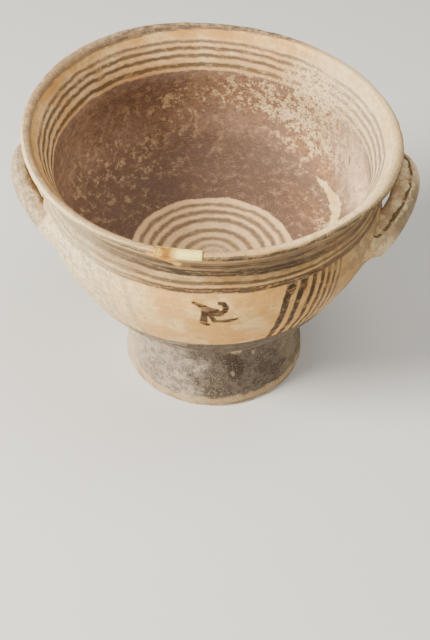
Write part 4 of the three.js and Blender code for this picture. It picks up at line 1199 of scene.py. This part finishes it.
bowl = build_bowl(wall_mat, inside_mat)
fix_normals(bowl)
foot = build_ring("foot", FOOT, 0.9, 288, foot_mat)
fix_normals(foot)
collar = build_ring("foot_collar", COLLAR, 1.0, 480, collar_mat, wall=True)
fix_normals(collar)
fill = build_fill("rim_fill", fill_mat)
pieces = [(bowl, "bowl_body", "painted_clay"), (foot, "pedestal_foot", "foot_clay"),
          (collar, "foot_luting_collar", "luting_clay"), (fill, "rim_repair_fill", "repair_fill")]
for side, h in HANDLES.items():
    handle_mat = handle_clay("handle_slip_" + side, side == "left")
    pieces.append((build_handle("loop_handle_" + side, h, handle_mat), "handle_" + side, "handle_clay"))
    for end, word in ((-1, "front"), (1, "rear")):
        pieces.append((build_pad(f"luting_{side}_{word}", h, end, wall_mat), f"handle_{side}_{word}_luting", "luting_clay"))
for piece, node, slot in pieces:
    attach(piece, "root")
    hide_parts(node)

# ------------------------------------------------------------------ floor, light and camera
floor_me = bpy.data.meshes.new("floor")
half = 6.0
floor_me.from_pydata([(-half, -half, 0), (half, -half, 0), (half, half, 0), (-half, half, 0)], [], [(0, 1, 2, 3)])
floor_me.materials.append(plain("pale_floor", (0.70, 0.69, 0.67, 1), 0.75))
floor = bpy.data.objects.new("floor", floor_me)
floor.location = (0, 0, -0.0002)
bpy.context.scene.collection.objects.link(floor)

world = bpy.data.worlds.new("studio")
bpy.context.scene.world = world
world.use_nodes = True
world.node_tree.nodes["Background"].inputs[0].default_value = (1.0, 0.98, 0.95, 1)
world.node_tree.nodes["Background"].inputs[1].default_value = 0.42


def lamp(name, at, target, size, power, colour):
    d = bpy.data.lights.new(name, "AREA")
    d.shape = "DISK"
    d.size = size
    d.energy = power
    d.color = colour
    o = bpy.data.objects.new(name, d)
    o.location = at
    o.rotation_euler = (Vector(target) - Vector(at)).to_track_quat("-Z", "Y").to_euler()
    bpy.context.scene.collection.objects.link(o)
    return o


lamp("key", (-0.88, -0.42, 0.80), (0, 0, 0.08), 0.50, 39.0, (1.0, 0.94, 0.84))
lamp("fill", (0.9, -0.9, 0.8), (0, 0, 0.08), 0.9, 2.2, (1.0, 0.97, 0.92))
lamp("top", (0.42, -0.05, 1.2), (0, 0, 0.08), 0.8, 7.0, (1.0, 0.96, 0.90))

F_PX, DH, HC, PITCH, YAW, ROLL = 1187.1, 5.2408, 5.2784, 0.7709, 0.001, -0.0055
fwd = Vector((math.sin(YAW) * math.cos(PITCH), math.cos(YAW) * math.cos(PITCH), -math.sin(PITCH)))
right = Vector((math.cos(YAW), -math.sin(YAW), 0))
down = fwd.cross(right)
r2 = math.cos(ROLL) * right + math.sin(ROLL) * down
d2 = -math.sin(ROLL) * right + math.cos(ROLL) * down
cam_data = bpy.data.cameras.new("camera")
cam_data.sensor_width = 36.0
cam_data.lens = F_PX / 640 * 36.0
cam_data.clip_start, cam_data.clip_end = 0.01, 50
cam = bpy.data.objects.new("camera", cam_data)
m = Matrix((r2, -d2, -fwd)).transposed().to_4x4()
m.translation = Vector((SHIFT[0] / 1000, -DH * 0.08 + SHIFT[1] / 1000, HC * 0.08))
cam.matrix_world = m
bpy.context.scene.collection.objects.link(cam)
bpy.context.scene.camera = cam

bpy.context.view_layer.update()
